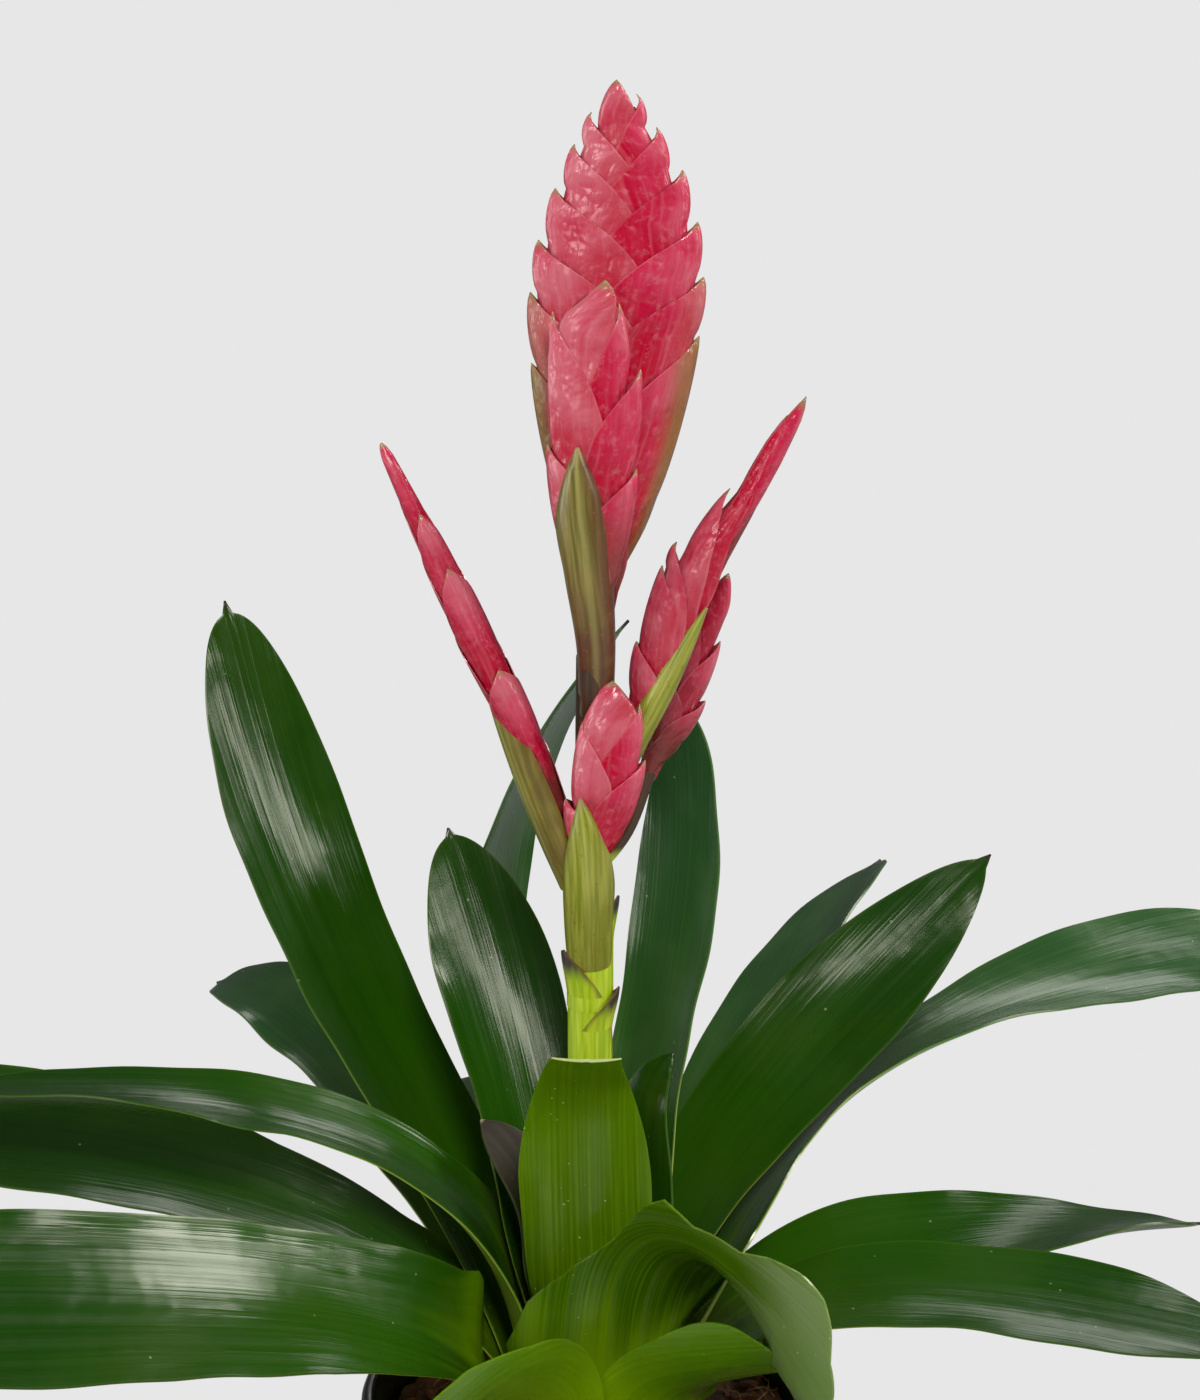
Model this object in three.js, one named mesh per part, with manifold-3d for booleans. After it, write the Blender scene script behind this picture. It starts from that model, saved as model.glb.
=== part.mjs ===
import * as THREE from "three";
import Module from "manifold-3d";

// Potted vriesea: a bromeliad in a 12 cm nursery pot, a rosette of strap leaves round one flower stem
// that carries six flattened pink spikes.
// Millimetres, +Z up, origin at the centre of the pot's base.
// The plant is seen from -Y, with +X to the right.

// Pot and soil
const POT_HEIGHT = 106;
const RIM_RADIUS = 60;
const BASE_RADIUS = 43.5;
const POT_WALL = 1.6;
const FLOOR = 2.4;
const LIP_HEIGHT = 9;
const LIP_DEPTH = 3.4;
const POT_SIDES = 40;
const DRAIN_HOLES = 4;
const DRAIN_RADIUS = 4;
const DRAIN_CIRCLE = 30;
const SOIL_LEVEL = 95;
const SOIL_GAP = 0.4;
const SOIL_BUMP = 1.2;
const CROWN_HOLE_RADIUS = 33;
const CROWN_HOLE_FLOOR = 83;
const STEM_HOLE_RADIUS = 12.6;
const STEM_HOLE_FLOOR = 62;

// Crown: the leaves stand on a cone, the inner ones high and close to the stem
const RING_RADIUS = 9;
const RING_HEIGHT = 114;
const RING_DROP = 1.15;
const SEAT_GAP = 1.1;
const STUB_RADIUS = 12;

// Leaves
const SHEATH_FLARE = THREE.MathUtils.degToRad(15);
const LEAF_THICKNESS = 1.3;
const MARGIN_THICKNESS = 0.8;
const LEAF_STATIONS = [0, 0.06, 0.13, 0.22, 0.33, 0.45, 0.58, 0.7, 0.81, 0.9, 0.965, 1];
const LEAF_STRIPS = 6;

// What a leaf has unless it says otherwise. Its width, the roll of its blade, reached at the fraction
// "turned", and a further twist towards the tip, in degrees. Its channel's depth, the share that tapers,
// how blunt that end is, the neck's share of the width, and how far the sheath wraps round the stem,
// in radians each way.
const LEAF = {
  width: 38, roll: 0, turned: 0.45, twist: 0,
  cup: 0.3, taper: 0.3, blunt: 2.2, neck: 0.72, wrap: 0.65,
};

// Flower stem and spikes
const SCAPE_SIDES = 10;
const CORE_SHARE = 0.78;
const FIT = 0.3;

const wasm = await Module();
wasm.setup();

const vec = (x, y, z) => new THREE.Vector3(x, y, z);
const clamp = THREE.MathUtils.clamp;
const smooth = (a, b, x) => THREE.MathUtils.smoothstep(x, a, b);

// A value read from a list of [position, value] pairs, straight between them.
function along(list, at) {
  for (let i = 1; i < list.length; i++) {
    const [a, va] = list[i - 1];
    const [b, vb] = list[i];
    if (at <= b) return va + ((vb - va) * clamp(at - a, 0, b - a)) / (b - a);
  }
  return list[list.length - 1][1];
}

function toSolid(vertices, triangles) {
  const flat = new Float32Array(vertices.flatMap((v) => [v.x, v.y, v.z]));
  const corners = new Uint32Array(triangles.flat());
  return new wasm.Manifold(new wasm.Mesh({ numProp: 3, vertProperties: flat, triVerts: corners }));
}

const join = (solids) => solids.reduce((sum, solid) => sum.add(solid));
const cut = (solid, tools) => tools.reduce((rest, tool) => rest.subtract(tool), solid);

// A closed skin over rings with the same number of corners, each seen anticlockwise from the end of the row.
function skin(rings) {
  const n = rings[0].length;
  const last = rings.length - 1;
  const vertices = rings.flat();
  const triangles = [];
  for (let i = 0; i < last; i++) {
    for (let j = 0; j < n; j++) {
      const a = i * n + j;
      const b = i * n + ((j + 1) % n);
      triangles.push([a, b, b + n], [a, b + n, a + n]);
    }
  }
  for (let j = 1; j < n - 1; j++) {
    triangles.push([0, j + 1, j], [last * n, last * n + j, last * n + j + 1]);
  }
  return toSolid(vertices, triangles);
}

// A turned body about the Z axis from a profile of [radius, height], the bottom first.
function turned(profile, sides) {
  const rings = profile.map(([radius, height]) =>
    Array.from({ length: sides }, (_, j) => {
      const angle = (2 * Math.PI * j) / sides;
      return vec(radius * Math.cos(angle), radius * Math.sin(angle), height);
    }),
  );
  return skin(rings);
}

// A body with oval sections along a path.
// Its rows are {at, wide, thick}: the half sizes across and through.
function oval(rows, across, sides, grow = 0) {
  const rings = rows.map(({ at, wide, thick }, i) => {
    const before = rows[Math.max(i - 1, 0)].at;
    const after = rows[Math.min(i + 1, rows.length - 1)].at;
    const forward = vec().subVectors(after, before).normalize();
    const side = across.clone().addScaledVector(forward, -across.dot(forward)).normalize();
    const through = vec().crossVectors(forward, side);
    const end = i === 0 ? -grow : i === rows.length - 1 ? grow : 0;
    const centre = at.clone().addScaledVector(forward, end);
    return Array.from({ length: sides }, (_, j) => {
      const angle = (2 * Math.PI * (j + 0.5)) / sides;
      return centre
        .clone()
        .addScaledVector(side, (wide + grow) * Math.cos(angle))
        .addScaledVector(through, (thick + grow) * Math.sin(angle));
    });
  });
  return skin(rings);
}

// Pot: a thin tapered wall with a rolled rim, a flat floor and drain holes
function pot() {
  const outer = [
    [BASE_RADIUS - 1, 0],
    [BASE_RADIUS, 1],
    [RIM_RADIUS - LIP_DEPTH, POT_HEIGHT - LIP_HEIGHT],
    [RIM_RADIUS - 0.8, POT_HEIGHT - LIP_HEIGHT + 0.6],
    [RIM_RADIUS, POT_HEIGHT - 2],
    [RIM_RADIUS - 0.7, POT_HEIGHT - 0.5],
    [RIM_RADIUS - 1.9, POT_HEIGHT],
  ];
  const inner = [
    [BASE_RADIUS - POT_WALL - 0.4, FLOOR],
    [RIM_RADIUS - LIP_DEPTH - POT_WALL, POT_HEIGHT - LIP_HEIGHT],
    [RIM_RADIUS - 3.6, POT_HEIGHT - 3],
    [RIM_RADIUS - 3, POT_HEIGHT + 1],
  ];
  const drains = Array.from({ length: DRAIN_HOLES }, (_, i) => {
    const angle = (2 * Math.PI * (i + 0.5)) / DRAIN_HOLES;
    const x = DRAIN_CIRCLE * Math.cos(angle);
    const y = DRAIN_CIRCLE * Math.sin(angle);
    const size = { wide: DRAIN_RADIUS, thick: DRAIN_RADIUS };
    return oval([{ at: vec(x, y, -1), ...size }, { at: vec(x, y, FLOOR + 1), ...size }], vec(1, 0, 0), 10);
  });
  return cut(turned(outer, POT_SIDES), [turned(inner, POT_SIDES), ...drains]);
}

// Soil: fills the pot to just under the rim, with a bumpy top and a plain stepped hole for the crown
function soil() {
  const innerRadius = (z) =>
    along(
      [
        [FLOOR, BASE_RADIUS - POT_WALL - 0.4],
        [POT_HEIGHT - LIP_HEIGHT, RIM_RADIUS - LIP_DEPTH - POT_WALL],
      ],
      z,
    ) - SOIL_GAP;
  const bump = (angle, ring) =>
    SOIL_BUMP * (Math.sin(3 * angle + ring) + Math.cos(7 * angle - 2 * ring)) * 0.5;
  const sides = 28;
  const ring = (radius, height, row = 0) =>
    Array.from({ length: sides }, (_, j) => {
      const angle = (2 * Math.PI * j) / sides;
      const lift = row ? bump(angle, row) : 0;
      return vec(radius * Math.cos(angle), radius * Math.sin(angle), height + lift);
    });
  const top = SOIL_LEVEL;
  // the pot's wall is a polygon, so the soil keeps clear of its flats
  const edge = (z) => innerRadius(z) * Math.cos(Math.PI / POT_SIDES);
  return skin([
    ring(edge(FLOOR + SOIL_GAP), FLOOR + SOIL_GAP),
    ring(edge(top - 2), top - 2),
    ring(edge(top - 2) - 0.5, top - 0.5, 1),
    ring(50, top, 2),
    ring(44, top + 0.8, 3),
    ring(38, top + 0.6, 4),
    ring(CROWN_HOLE_RADIUS + 0.6, top + 0.2, 5),
    ring(CROWN_HOLE_RADIUS, top - 1.5),
    ring(CROWN_HOLE_RADIUS, CROWN_HOLE_FLOOR),
    ring(STEM_HOLE_RADIUS, CROWN_HOLE_FLOOR),
    ring(STEM_HOLE_RADIUS, STEM_HOLE_FLOOR),
  ]);
}

// Where a leaf of the given rank stands on the crown. Rank 0 is the innermost.
const seat = (rank) => [RING_RADIUS + rank, RING_HEIGHT - RING_DROP * rank];

// Half width of a leaf at a fraction of its length: a narrower neck, a broad blade and a blunt end.
function halfWidth(leaf, s) {
  const neck = leaf.neck + (1 - leaf.neck) * smooth(0.08, 0.5, s);
  const x = clamp((s - (1 - leaf.taper)) / leaf.taper, 0, 1);
  let end = Math.pow(Math.max(1 - Math.pow(x, leaf.blunt), 0), 1 / leaf.blunt);
  if (leaf.trimmed) end = 1 - (1 - leaf.trimmed) * smooth(0, 1, x);
  return Math.max((leaf.width / 2) * neck * end, 0.5);
}

// A strap leaf. Its midrib is a curve near an upright plane at the azimuth: up the sheath, over the crest,
// to the tip. Crest and tip are [out, up, aside]. The section is an arc: round the stem at the base,
// a shallow channel beyond.
function leafSolid(options) {
  const leaf = { ...LEAF, ...options };
  const azimuth = THREE.MathUtils.degToRad(leaf.azimuth);
  const outward = vec(Math.cos(azimuth), Math.sin(azimuth), 0);
  const aside = vec(-Math.sin(azimuth), Math.cos(azimuth), 0);
  const [radius, height] = seat(leaf.rank);
  const place = ([out, up, side = 0]) =>
    vec(0, 0, up).addScaledVector(outward, out).addScaledVector(aside, side);
  const shoulder = [
    radius + leaf.sheath * Math.sin(SHEATH_FLARE),
    height + leaf.sheath * Math.cos(SHEATH_FLARE),
  ];
  const midrib = new THREE.CubicBezierCurve3(
    place([radius, height]),
    place(shoulder),
    place(leaf.crest),
    place(leaf.tip),
  );
  midrib.arcLengthDivisions = 120;
  const upper = [];
  const lower = [];
  for (const s of LEAF_STATIONS) {
    const centre = midrib.getPointAt(s);
    const tangent = midrib.getTangentAt(s);
    const across = aside.clone().addScaledVector(tangent, -aside.dot(tangent)).normalize();
    const roll = leaf.roll * smooth(0, leaf.turned, s) + leaf.twist * smooth(0.35, 1, s);
    across.applyAxisAngle(tangent, THREE.MathUtils.degToRad(roll));
    const normal = vec().crossVectors(tangent, across);
    const reach = Math.max(Math.hypot(centre.x, centre.y), 1);
    const sheath = 1 - smooth(0.04, 0.3, s);
    let half = halfWidth(leaf, s);
    if (sheath > 0) half = Math.min(half, leaf.wrap * reach + (1 - sheath) * 80);
    const bend = sheath / (reach + 1) + ((1 - sheath) * leaf.cup) / (leaf.width / 2);
    for (let j = 0; j <= LEAF_STRIPS; j++) {
      const u = (2 * j) / LEAF_STRIPS - 1;
      const angle = u * half * bend;
      const skinNormal = normal
        .clone()
        .multiplyScalar(Math.cos(angle))
        .addScaledVector(across, -Math.sin(angle));
      const thick = LEAF_THICKNESS + (MARGIN_THICKNESS - LEAF_THICKNESS) * u * u;
      const point = centre
        .clone()
        .addScaledVector(across, Math.sin(angle) / bend)
        .addScaledVector(normal, (1 - Math.cos(angle)) / bend);
      upper.push(point.clone().addScaledVector(skinNormal, thick / 2));
      lower.push(point.clone().addScaledVector(skinNormal, -thick / 2));
    }
  }
  const count = upper.length;
  const row = LEAF_STRIPS + 1;
  const rows = LEAF_STATIONS.length;
  const triangles = [];
  for (let i = 0; i < rows - 1; i++) {
    for (let j = 0; j < LEAF_STRIPS; j++) {
      const a = i * row + j;
      const b = a + row;
      triangles.push([a, b, b + 1], [a, b + 1, a + 1]);
      triangles.push([count + a, count + b + 1, count + b], [count + a, count + a + 1, count + b + 1]);
    }
    const near = i * row;
    const far = near + LEAF_STRIPS;
    triangles.push([near, count + near, count + near + row], [near, count + near + row, near + row]);
    triangles.push([far, far + row, count + far + row], [far, count + far + row, count + far]);
  }
  for (let j = 0; j < LEAF_STRIPS; j++) {
    const tip = (rows - 1) * row + j;
    triangles.push([j, j + 1, count + j + 1], [j, count + j + 1, count + j]);
    triangles.push([tip, count + tip, count + tip + 1], [tip, count + tip + 1, tip + 1]);
  }
  return toSolid([...upper, ...lower], triangles);
}

// The leaves, named by where they stand as seen from the front
const LEAVES = {
  leaf_cut_front: {
    azimuth: 269, rank: 0, sheath: 40, crest: [5, 198, -3], tip: [42, 216],
    width: 34, roll: -1, twist: 1, taper: 0.5, blunt: 2, neck: 0.85, trimmed: 0.5,
  },
  leaf_inner_left: {
    azimuth: 163, rank: 0.4, sheath: 36, crest: [5, 157, 1], tip: [30, 178, -1],
    width: 25, roll: -7, twist: -11, taper: 0.5, blunt: 1.8, neck: 0.5,
  },
  leaf_inner_right: {
    azimuth: 24, rank: 1.4, sheath: 44, crest: [7, 184, 1], tip: [23, 197, -1],
    width: 25, roll: 20, twist: 7, taper: 0.5, blunt: 1.6, neck: 0.7,
  },
  leaf_upright_left: {
    azimuth: 122, rank: 2.2, sheath: 41, crest: [38, 186, -2], tip: [65, 243, 4],
    width: 38, roll: 16, twist: -22, cup: 0.35, taper: 0.35, blunt: 1.8, neck: 0.8, wrap: 0.7,
  },
  leaf_tall_right_back: {
    azimuth: 73, rank: 5.2, sheath: 63, crest: [68, 211, -14], tip: [59, 279, -7],
    width: 37, roll: -43, twist: 10, cup: 0.35, taper: 0.4, blunt: 2, neck: 0.85,
  },
  leaf_arch_back: {
    azimuth: 96, rank: 6.6, sheath: 50, crest: [99, 204, 55], tip: [66, 296, -17],
    width: 32, roll: 58, twist: 5, neck: 0.7, wrap: 0.45,
  },
  leaf_band_left: {
    azimuth: 188, rank: 7, sheath: 33, crest: [15, 201, 3], tip: [186, 197, 1],
    width: 39, roll: -2, twist: 21, cup: 0.55, blunt: 2, neck: 0.85,
  },
  leaf_big_right: {
    azimuth: 25, rank: 7.2, sheath: 41, crest: [19, 135, 27], tip: [115, 238, -3],
    width: 36, roll: 17, twist: 40, cup: 0.35, taper: 0.4, blunt: 1.6, neck: 0.85, wrap: 0.55,
  },
  leaf_front_curl: {
    azimuth: 317, rank: 9.4, sheath: 9, crest: [12, 192, -9], tip: [79, 139, 3],
    width: 44, roll: -29, twist: -47, cup: 0.35, taper: 0.35, neck: 1, wrap: 0.85,
  },
  leaf_thin_right_back: {
    azimuth: 54, rank: 9.8, sheath: 33, crest: [85, 206, -1], tip: [141, 212, 1],
    width: 38, roll: -20, twist: -13, blunt: 2, neck: 0.85, wrap: 0.7,
  },
  leaf_tall_left: {
    azimuth: 140, rank: 10, sheath: 69, crest: [93, 163, -2], tip: [121, 300, 7],
    width: 38, roll: 4, twist: -24, cup: 0.35, taper: 0.35, blunt: 2, neck: 0.8,
  },
  leaf_dark_left: {
    azimuth: 176, rank: 11.2, sheath: 44, crest: [65, 176], tip: [213, 181, 6],
    width: 38, roll: -19, twist: -11, taper: 0.25, neck: 0.85, wrap: 0.55,
  },
  leaf_far_right: {
    azimuth: 33, rank: 11.6, sheath: 50, crest: [82, 197, 7], tip: [226, 187, -7],
    width: 39, roll: -27, twist: 57, blunt: 2.4, neck: 0.85,
  },
  leaf_wavy_left: {
    azimuth: 131, rank: 12.6, sheath: 39, crest: [118, 193, 2], tip: [171, 168, -4],
    width: 29, roll: -16, twist: -1, cup: 0.35, neck: 0.85,
  },
  leaf_back_right_low: {
    azimuth: 66, rank: 13, sheath: 37, crest: [84, 146], tip: [96, 104],
    width: 38, roll: -2, twist: 2, neck: 0.7, wrap: 0.5,
  },
  leaf_low_right: {
    azimuth: 347, rank: 13.4, sheath: 47, crest: [79, 152, -2], tip: [168, 137, 1],
    width: 38, roll: 9, neck: 0.85,
  },
  leaf_low_right_back: {
    azimuth: 8, rank: 15.4, sheath: 42, crest: [69, 146, -2], tip: [165, 140, 5],
    width: 40, roll: 19, twist: -40, cup: 0.35, taper: 0.25, blunt: 2.4, neck: 0.85,
  },
  leaf_back_left_low: {
    azimuth: 112, rank: 15.6, sheath: 30, crest: [90, 160], tip: [150, 130],
    width: 38,
  },
  leaf_big_left: {
    azimuth: 219, rank: 16.2, sheath: 48, crest: [92, 164, 10], tip: [215, 189, -20],
    width: 43, roll: -32, turned: 0.3, twist: -23, cup: 0.25, taper: 0.25, neck: 0.85, wrap: 0.6,
  },
  leaf_front_right: {
    azimuth: 310, rank: 17.4, sheath: 19, crest: [25, 120, -9], tip: [60, 129, 21],
    width: 39, roll: -18, cup: 0.6, taper: 0.35, blunt: 1.8, neck: 0.9, wrap: 1,
  },
  leaf_back_low: {
    azimuth: 90, rank: 18, sheath: 25, crest: [84, 138], tip: [146, 98],
    width: 38,
  },
  leaf_front_small: {
    azimuth: 298, rank: 20, sheath: 20, crest: [50, 122], tip: [80, 108],
    width: 28,
  },
  leaf_front_left_low: {
    azimuth: 241, rank: 20.8, sheath: 27, crest: [50, 147, 22], tip: [88, 108, -24],
    width: 40, roll: 43, twist: 1, cup: 0.45, blunt: 2.4, neck: 0.9, wrap: 1,
  },
};

// The leaves that are yellow-green, in the heart of the rosette and at its foot
const LIGHT_LEAVES = [
  "leaf_cut_front", "leaf_front_curl", "leaf_front_right", "leaf_front_left_low", "leaf_front_small",
];

// Flower spikes: bracts in two rows either side of a flat face. Tips are [distance along the spike, side].
const SPIKES = {
  spike_terminal: {
    base: vec(0.4, 0, 304), tip: vec(6.5, 0, 446.4), across: vec(1, 0, 0), depth: 5.4,
    outline: [[0, 5], [15, 9], [41, 14], [66, 19], [90, 21.6], [114, 17.3], [131, 10], [139, 6], [142.5, 1]],
    bractWidth: 6.6, bractLength: 42,
    tips: [[58, 1], [64, -1], [75, -1], [82, 1], [90, -1], [96, 1], [105, -1], [109, 1],
      [117, -1], [121.5, 1], [127.5, -1], [132, 1], [135.5, -1], [139, 1]],
  },
  spike_upper_front: {
    base: vec(0.6, -10.6, 309.5), tip: vec(3.9, -11.4, 401.6), across: vec(1, 0, 0), depth: 4.2,
    outline: [[0, 4], [20, 8], [45, 11], [68, 12], [84, 9], [92, 1]],
    bractWidth: 5.2, bractLength: 42,
    tips: [[46, 1], [50, -1], [70, 1], [72, -1], [84.5, -1], [86, 1]],
  },
  spike_left: {
    base: vec(-5.6, -2.6, 263), tip: vec(-49.3, -3, 358), across: vec(0.35, -0.93, 0.16), depth: 4.2,
    outline: [[0, 3], [15, 6], [40, 7.5], [65, 6.5], [90, 4], [104, 1]],
    bractWidth: 4, bractLength: 34,
    tips: [[24, 1], [33, -1], [42, 1], [51, -1], [60, 1], [70, -1], [79, 1], [88, -1], [96, 1]],
  },
  spike_right: {
    base: vec(10.4, -4, 284), tip: vec(51.7, -4, 371.5), across: vec(0.905, 0, -0.425), depth: 4.4,
    outline: [[0, 4], [18, 8], [40, 8.6], [62, 6.6], [84, 3.6], [96.5, 1]],
    bractWidth: 4.6, bractLength: 34,
    tips: [[26, 1], [33, -1], [44, 1], [52, -1], [60, 1], [68, -1], [76, 1], [83, -1], [90, 1]],
  },
  spike_right_rear: {
    base: vec(14, 9.6, 271), tip: vec(34.2, 10, 323.9), across: vec(0.93, 0.1, -0.36), depth: 3.8,
    outline: [[0, 4], [16, 7], [32, 6.6], [46, 3.6], [56.5, 1]],
    bractWidth: 4.2, bractLength: 28,
    tips: [[23, 1], [28, -1], [35, 1], [41, -1], [48, 1]],
  },
  spike_front: {
    base: vec(0.6, -9.4, 249), tip: vec(5.6, -10, 302.4), across: vec(1, 0, 0), depth: 4.4,
    outline: [[0, 4.5], [18, 8.6], [32, 9], [44, 7], [53.5, 1]],
    bractWidth: 5, bractLength: 30,
    tips: [[23, -1], [33, 1], [38, -1], [46, 1]],
  },
};

// Along a bract: [share of its length, how far out on the spike's edge, inset, half width, half thickness],
// where the inset and the half width are shares of the spike's bract width and the last is one of its depth
const BRACT_ROWS = [
  [0, 0.1, 0, 0.3, 0.6],
  [0.3, 0.45, 0.2, 0.95, 1],
  [0.62, 1, 1.25, 1.1, 0.8],
  [0.86, 1, 0.6, 0.62, 0.45],
  [1, 1, 0, 0.1, 0.12],
];

// A spike's solid: its core and every bract as a flat pointed body, joined.
function spikeSolid({ base, tip, across, depth, outline, bractWidth, bractLength, tips }) {
  const length = base.distanceTo(tip);
  const up = vec().subVectors(tip, base).normalize();
  const side = across.clone().addScaledVector(up, -across.dot(up)).normalize();
  const at = (s, aside) => base.clone().addScaledVector(up, s).addScaledVector(side, aside);
  const core = [0, 0.2, 0.5, 0.8, 0.95, 1].map((f) => ({
    at: at(f * length, 0),
    wide: Math.max(along(outline, f * length) * CORE_SHARE, 0.5),
    thick: Math.max(depth * 0.8 * Math.sqrt(1 - f * f * 0.98) * (f === 0 ? 0.6 : 1), 0.4),
  }));
  const bracts = tips.map(([s, hand]) => {
    const start = Math.max(s - bractLength, 1.5);
    const rows = BRACT_ROWS.map(([share, out, inset, wide, thick]) => {
      const here = start + (s - start) * share;
      const aside = Math.max(along(outline, here) * out - bractWidth * inset, 0);
      return { at: at(here, hand * aside), wide: bractWidth * wide, thick: depth * thick };
    });
    return oval(rows, side, 6);
  });
  return join([oval(core, side, 8), ...bracts]);
}

// Green bracts, each in front of or under the spike it carries: rows of [point, half width, half thickness]
const X = vec(1, 0, 0);
const GREEN_BRACTS = [
  {
    across: X,
    rows: [[vec(0, -3, 230), 4, 1.5], [vec(0, -11, 243), 6, 1.4], [vec(-0.2, -15, 254), 6.3, 1.2],
      [vec(-1.4, -16.2, 266), 4.2, 0.8], [vec(-2.4, -16, 274), 0.6, 0.5]],
  },
  {
    across: X,
    rows: [[vec(0.2, -5, 296), 3, 1.5], [vec(0.6, -14.4, 311), 5.4, 1.6], [vec(0, -17, 328), 7, 1.2],
      [vec(-1.4, -17.4, 347), 5.2, 0.8], [vec(-2.7, -17.4, 362.3), 0.6, 0.5]],
  },
  {
    across: vec(0.905, 0, -0.425),
    rows: [[vec(6, -3.4, 273), 3, 1.4], [vec(13, -8.6, 286), 4.6, 1.1], [vec(20, -9.6, 300), 4.4, 0.9],
      [vec(28, -9.2, 318.6), 0.6, 0.5]],
  },
  {
    across: vec(-0.3, -0.95, -0.12),
    rows: [[vec(-4, -1, 250), 3.4, 1.4], [vec(-10.5, -3, 263), 5.4, 1.1], [vec(-18, -3.6, 281), 4.6, 0.9],
      [vec(-26.8, -3.6, 303), 0.6, 0.5]],
  },
];

// Sheath bracts wrapped round the flower stem, with slightly free tips
const SHEATHS = [
  {
    across: vec(0.3, 0.95, 0),
    rows: [[vec(-0.6, 0, 192), 5.4, 4.6], [vec(-2, 0, 212), 5.6, 4], [vec(-6.8, -2, 230), 0.6, 0.5]],
  },
  {
    across: vec(0, 1, 0),
    rows: [[vec(0.6, 0, 186), 5.4, 4.6], [vec(1.6, 0.4, 204), 5.4, 4.2], [vec(7.3, 1.5, 219), 0.6, 0.5]],
  },
  {
    across: vec(0, 1, 0),
    rows: [[vec(0.6, 0, 214), 5.4, 4.8], [vec(1.6, 0.4, 230), 5.2, 4.2], [vec(7, 0.6, 244), 0.6, 0.5]],
  },
];

// Branch stalks from the flower stem to the foot of each spike
const BRANCHES = [
  { from: vec(0, 0, 236), to: vec(0.6, -9.2, 248.6), radius: 2.6 },
  { from: vec(0, 0, 246), to: vec(-5.4, -2.6, 262.6), radius: 2.6 },
  { from: vec(0, 0, 262), to: vec(10.2, -4, 283.6), radius: 2.5 },
  { from: vec(0, 0, 250), to: vec(13.8, 9.5, 270.6), radius: 2.4 },
  { from: vec(0, 0, 290), to: vec(0.6, -10.5, 309), radius: 2.3 },
];

// Crown, flower stem, branch stalks and green bracts in one body. Grown a little, it cuts the spikes clear.
function stalkSolid(grow = 0) {
  const scapeRows = [
    [110, 7.2], [121, 5.4], [160, 5], [200, 4.7], [236, 5], [262, 4], [290, 3.4], [303.6, 3.1],
  ];
  const scape = scapeRows.map(([z, r]) => ({ at: vec(z > 236 ? 0.2 : 0, 0, z), wide: r, thick: r }));
  const bodies = [oval(scape, X, SCAPE_SIDES, grow)];
  for (const { across, rows } of [...GREEN_BRACTS, ...SHEATHS]) {
    bodies.push(oval(rows.map(([at, wide, thick]) => ({ at, wide, thick })), across, 8, grow));
  }
  for (const { from, to, radius } of BRANCHES) {
    const size = { wide: radius, thick: radius };
    bodies.push(oval([{ at: from, ...size }, { at: to, ...size }], X, 8, grow));
  }
  if (grow === 0) {
    const cone = (rank) => [RING_RADIUS + rank, RING_HEIGHT - RING_DROP * rank - SEAT_GAP];
    const crown = [
      [STUB_RADIUS, STEM_HOLE_FLOOR + 0.4], [STUB_RADIUS, 86], [28, 88], cone(21.5), cone(-1.2), [6, 116],
    ];
    bodies.push(turned(crown, 24));
  }
  return join(bodies);
}

const group = new THREE.Group();

function add(name, solid, color, roughness) {
  const { numProp, vertProperties, triVerts } = solid.getMesh();
  const positions = new Float32Array((vertProperties.length / numProp) * 3);
  for (let i = 0; i < positions.length / 3; i++) {
    positions.set(vertProperties.subarray(i * numProp, i * numProp + 3), i * 3);
  }
  const geometry = new THREE.BufferGeometry();
  geometry.setAttribute("position", new THREE.BufferAttribute(positions, 3));
  geometry.setIndex(new THREE.BufferAttribute(triVerts, 1));
  geometry.computeVertexNormals();
  const mesh = new THREE.Mesh(geometry, new THREE.MeshStandardMaterial({ color, roughness }));
  mesh.name = name;
  group.add(mesh);
}

add("pot", pot(), 0x1c211f, 0.35);
add("soil", soil(), 0x4a2614, 0.95);
add("stalk", stalkSolid(), 0x9aa52a, 0.5);
for (const [name, leaf] of Object.entries(LEAVES)) {
  const green = LIGHT_LEAVES.includes(name) ? 0x5e7d12 : 0x2f5a12;
  add(name, leafSolid(leaf), green, 0.3);
}
const clearance = stalkSolid(FIT);
for (const [name, spike] of Object.entries(SPIKES)) {
  add(name, cut(spikeSolid(spike), [clearance]), 0xe0566e, 0.35);
}

export default group;
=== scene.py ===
import math

import bmesh
import bpy
import numpy as np
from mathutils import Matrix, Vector


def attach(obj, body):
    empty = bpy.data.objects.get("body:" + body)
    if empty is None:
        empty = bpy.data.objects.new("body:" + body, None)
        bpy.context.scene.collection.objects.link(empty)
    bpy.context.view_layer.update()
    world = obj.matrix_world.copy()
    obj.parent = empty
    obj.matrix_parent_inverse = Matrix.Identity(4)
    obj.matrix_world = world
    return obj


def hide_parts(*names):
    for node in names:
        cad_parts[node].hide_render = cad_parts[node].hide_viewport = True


# Potted vriesea. Lengths are millimetres in this script and metres in Blender.
# +Z is up, the origin is the centre of the pot's base, and the plant is seen from -Y.

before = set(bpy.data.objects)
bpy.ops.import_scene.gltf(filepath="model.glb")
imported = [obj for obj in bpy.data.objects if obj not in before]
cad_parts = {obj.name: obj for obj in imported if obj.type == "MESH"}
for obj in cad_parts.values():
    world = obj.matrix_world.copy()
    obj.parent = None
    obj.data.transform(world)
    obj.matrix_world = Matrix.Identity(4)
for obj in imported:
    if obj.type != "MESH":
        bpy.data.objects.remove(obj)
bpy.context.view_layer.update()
MM = 0.001
CHANCE = np.random.default_rng(11)


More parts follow.
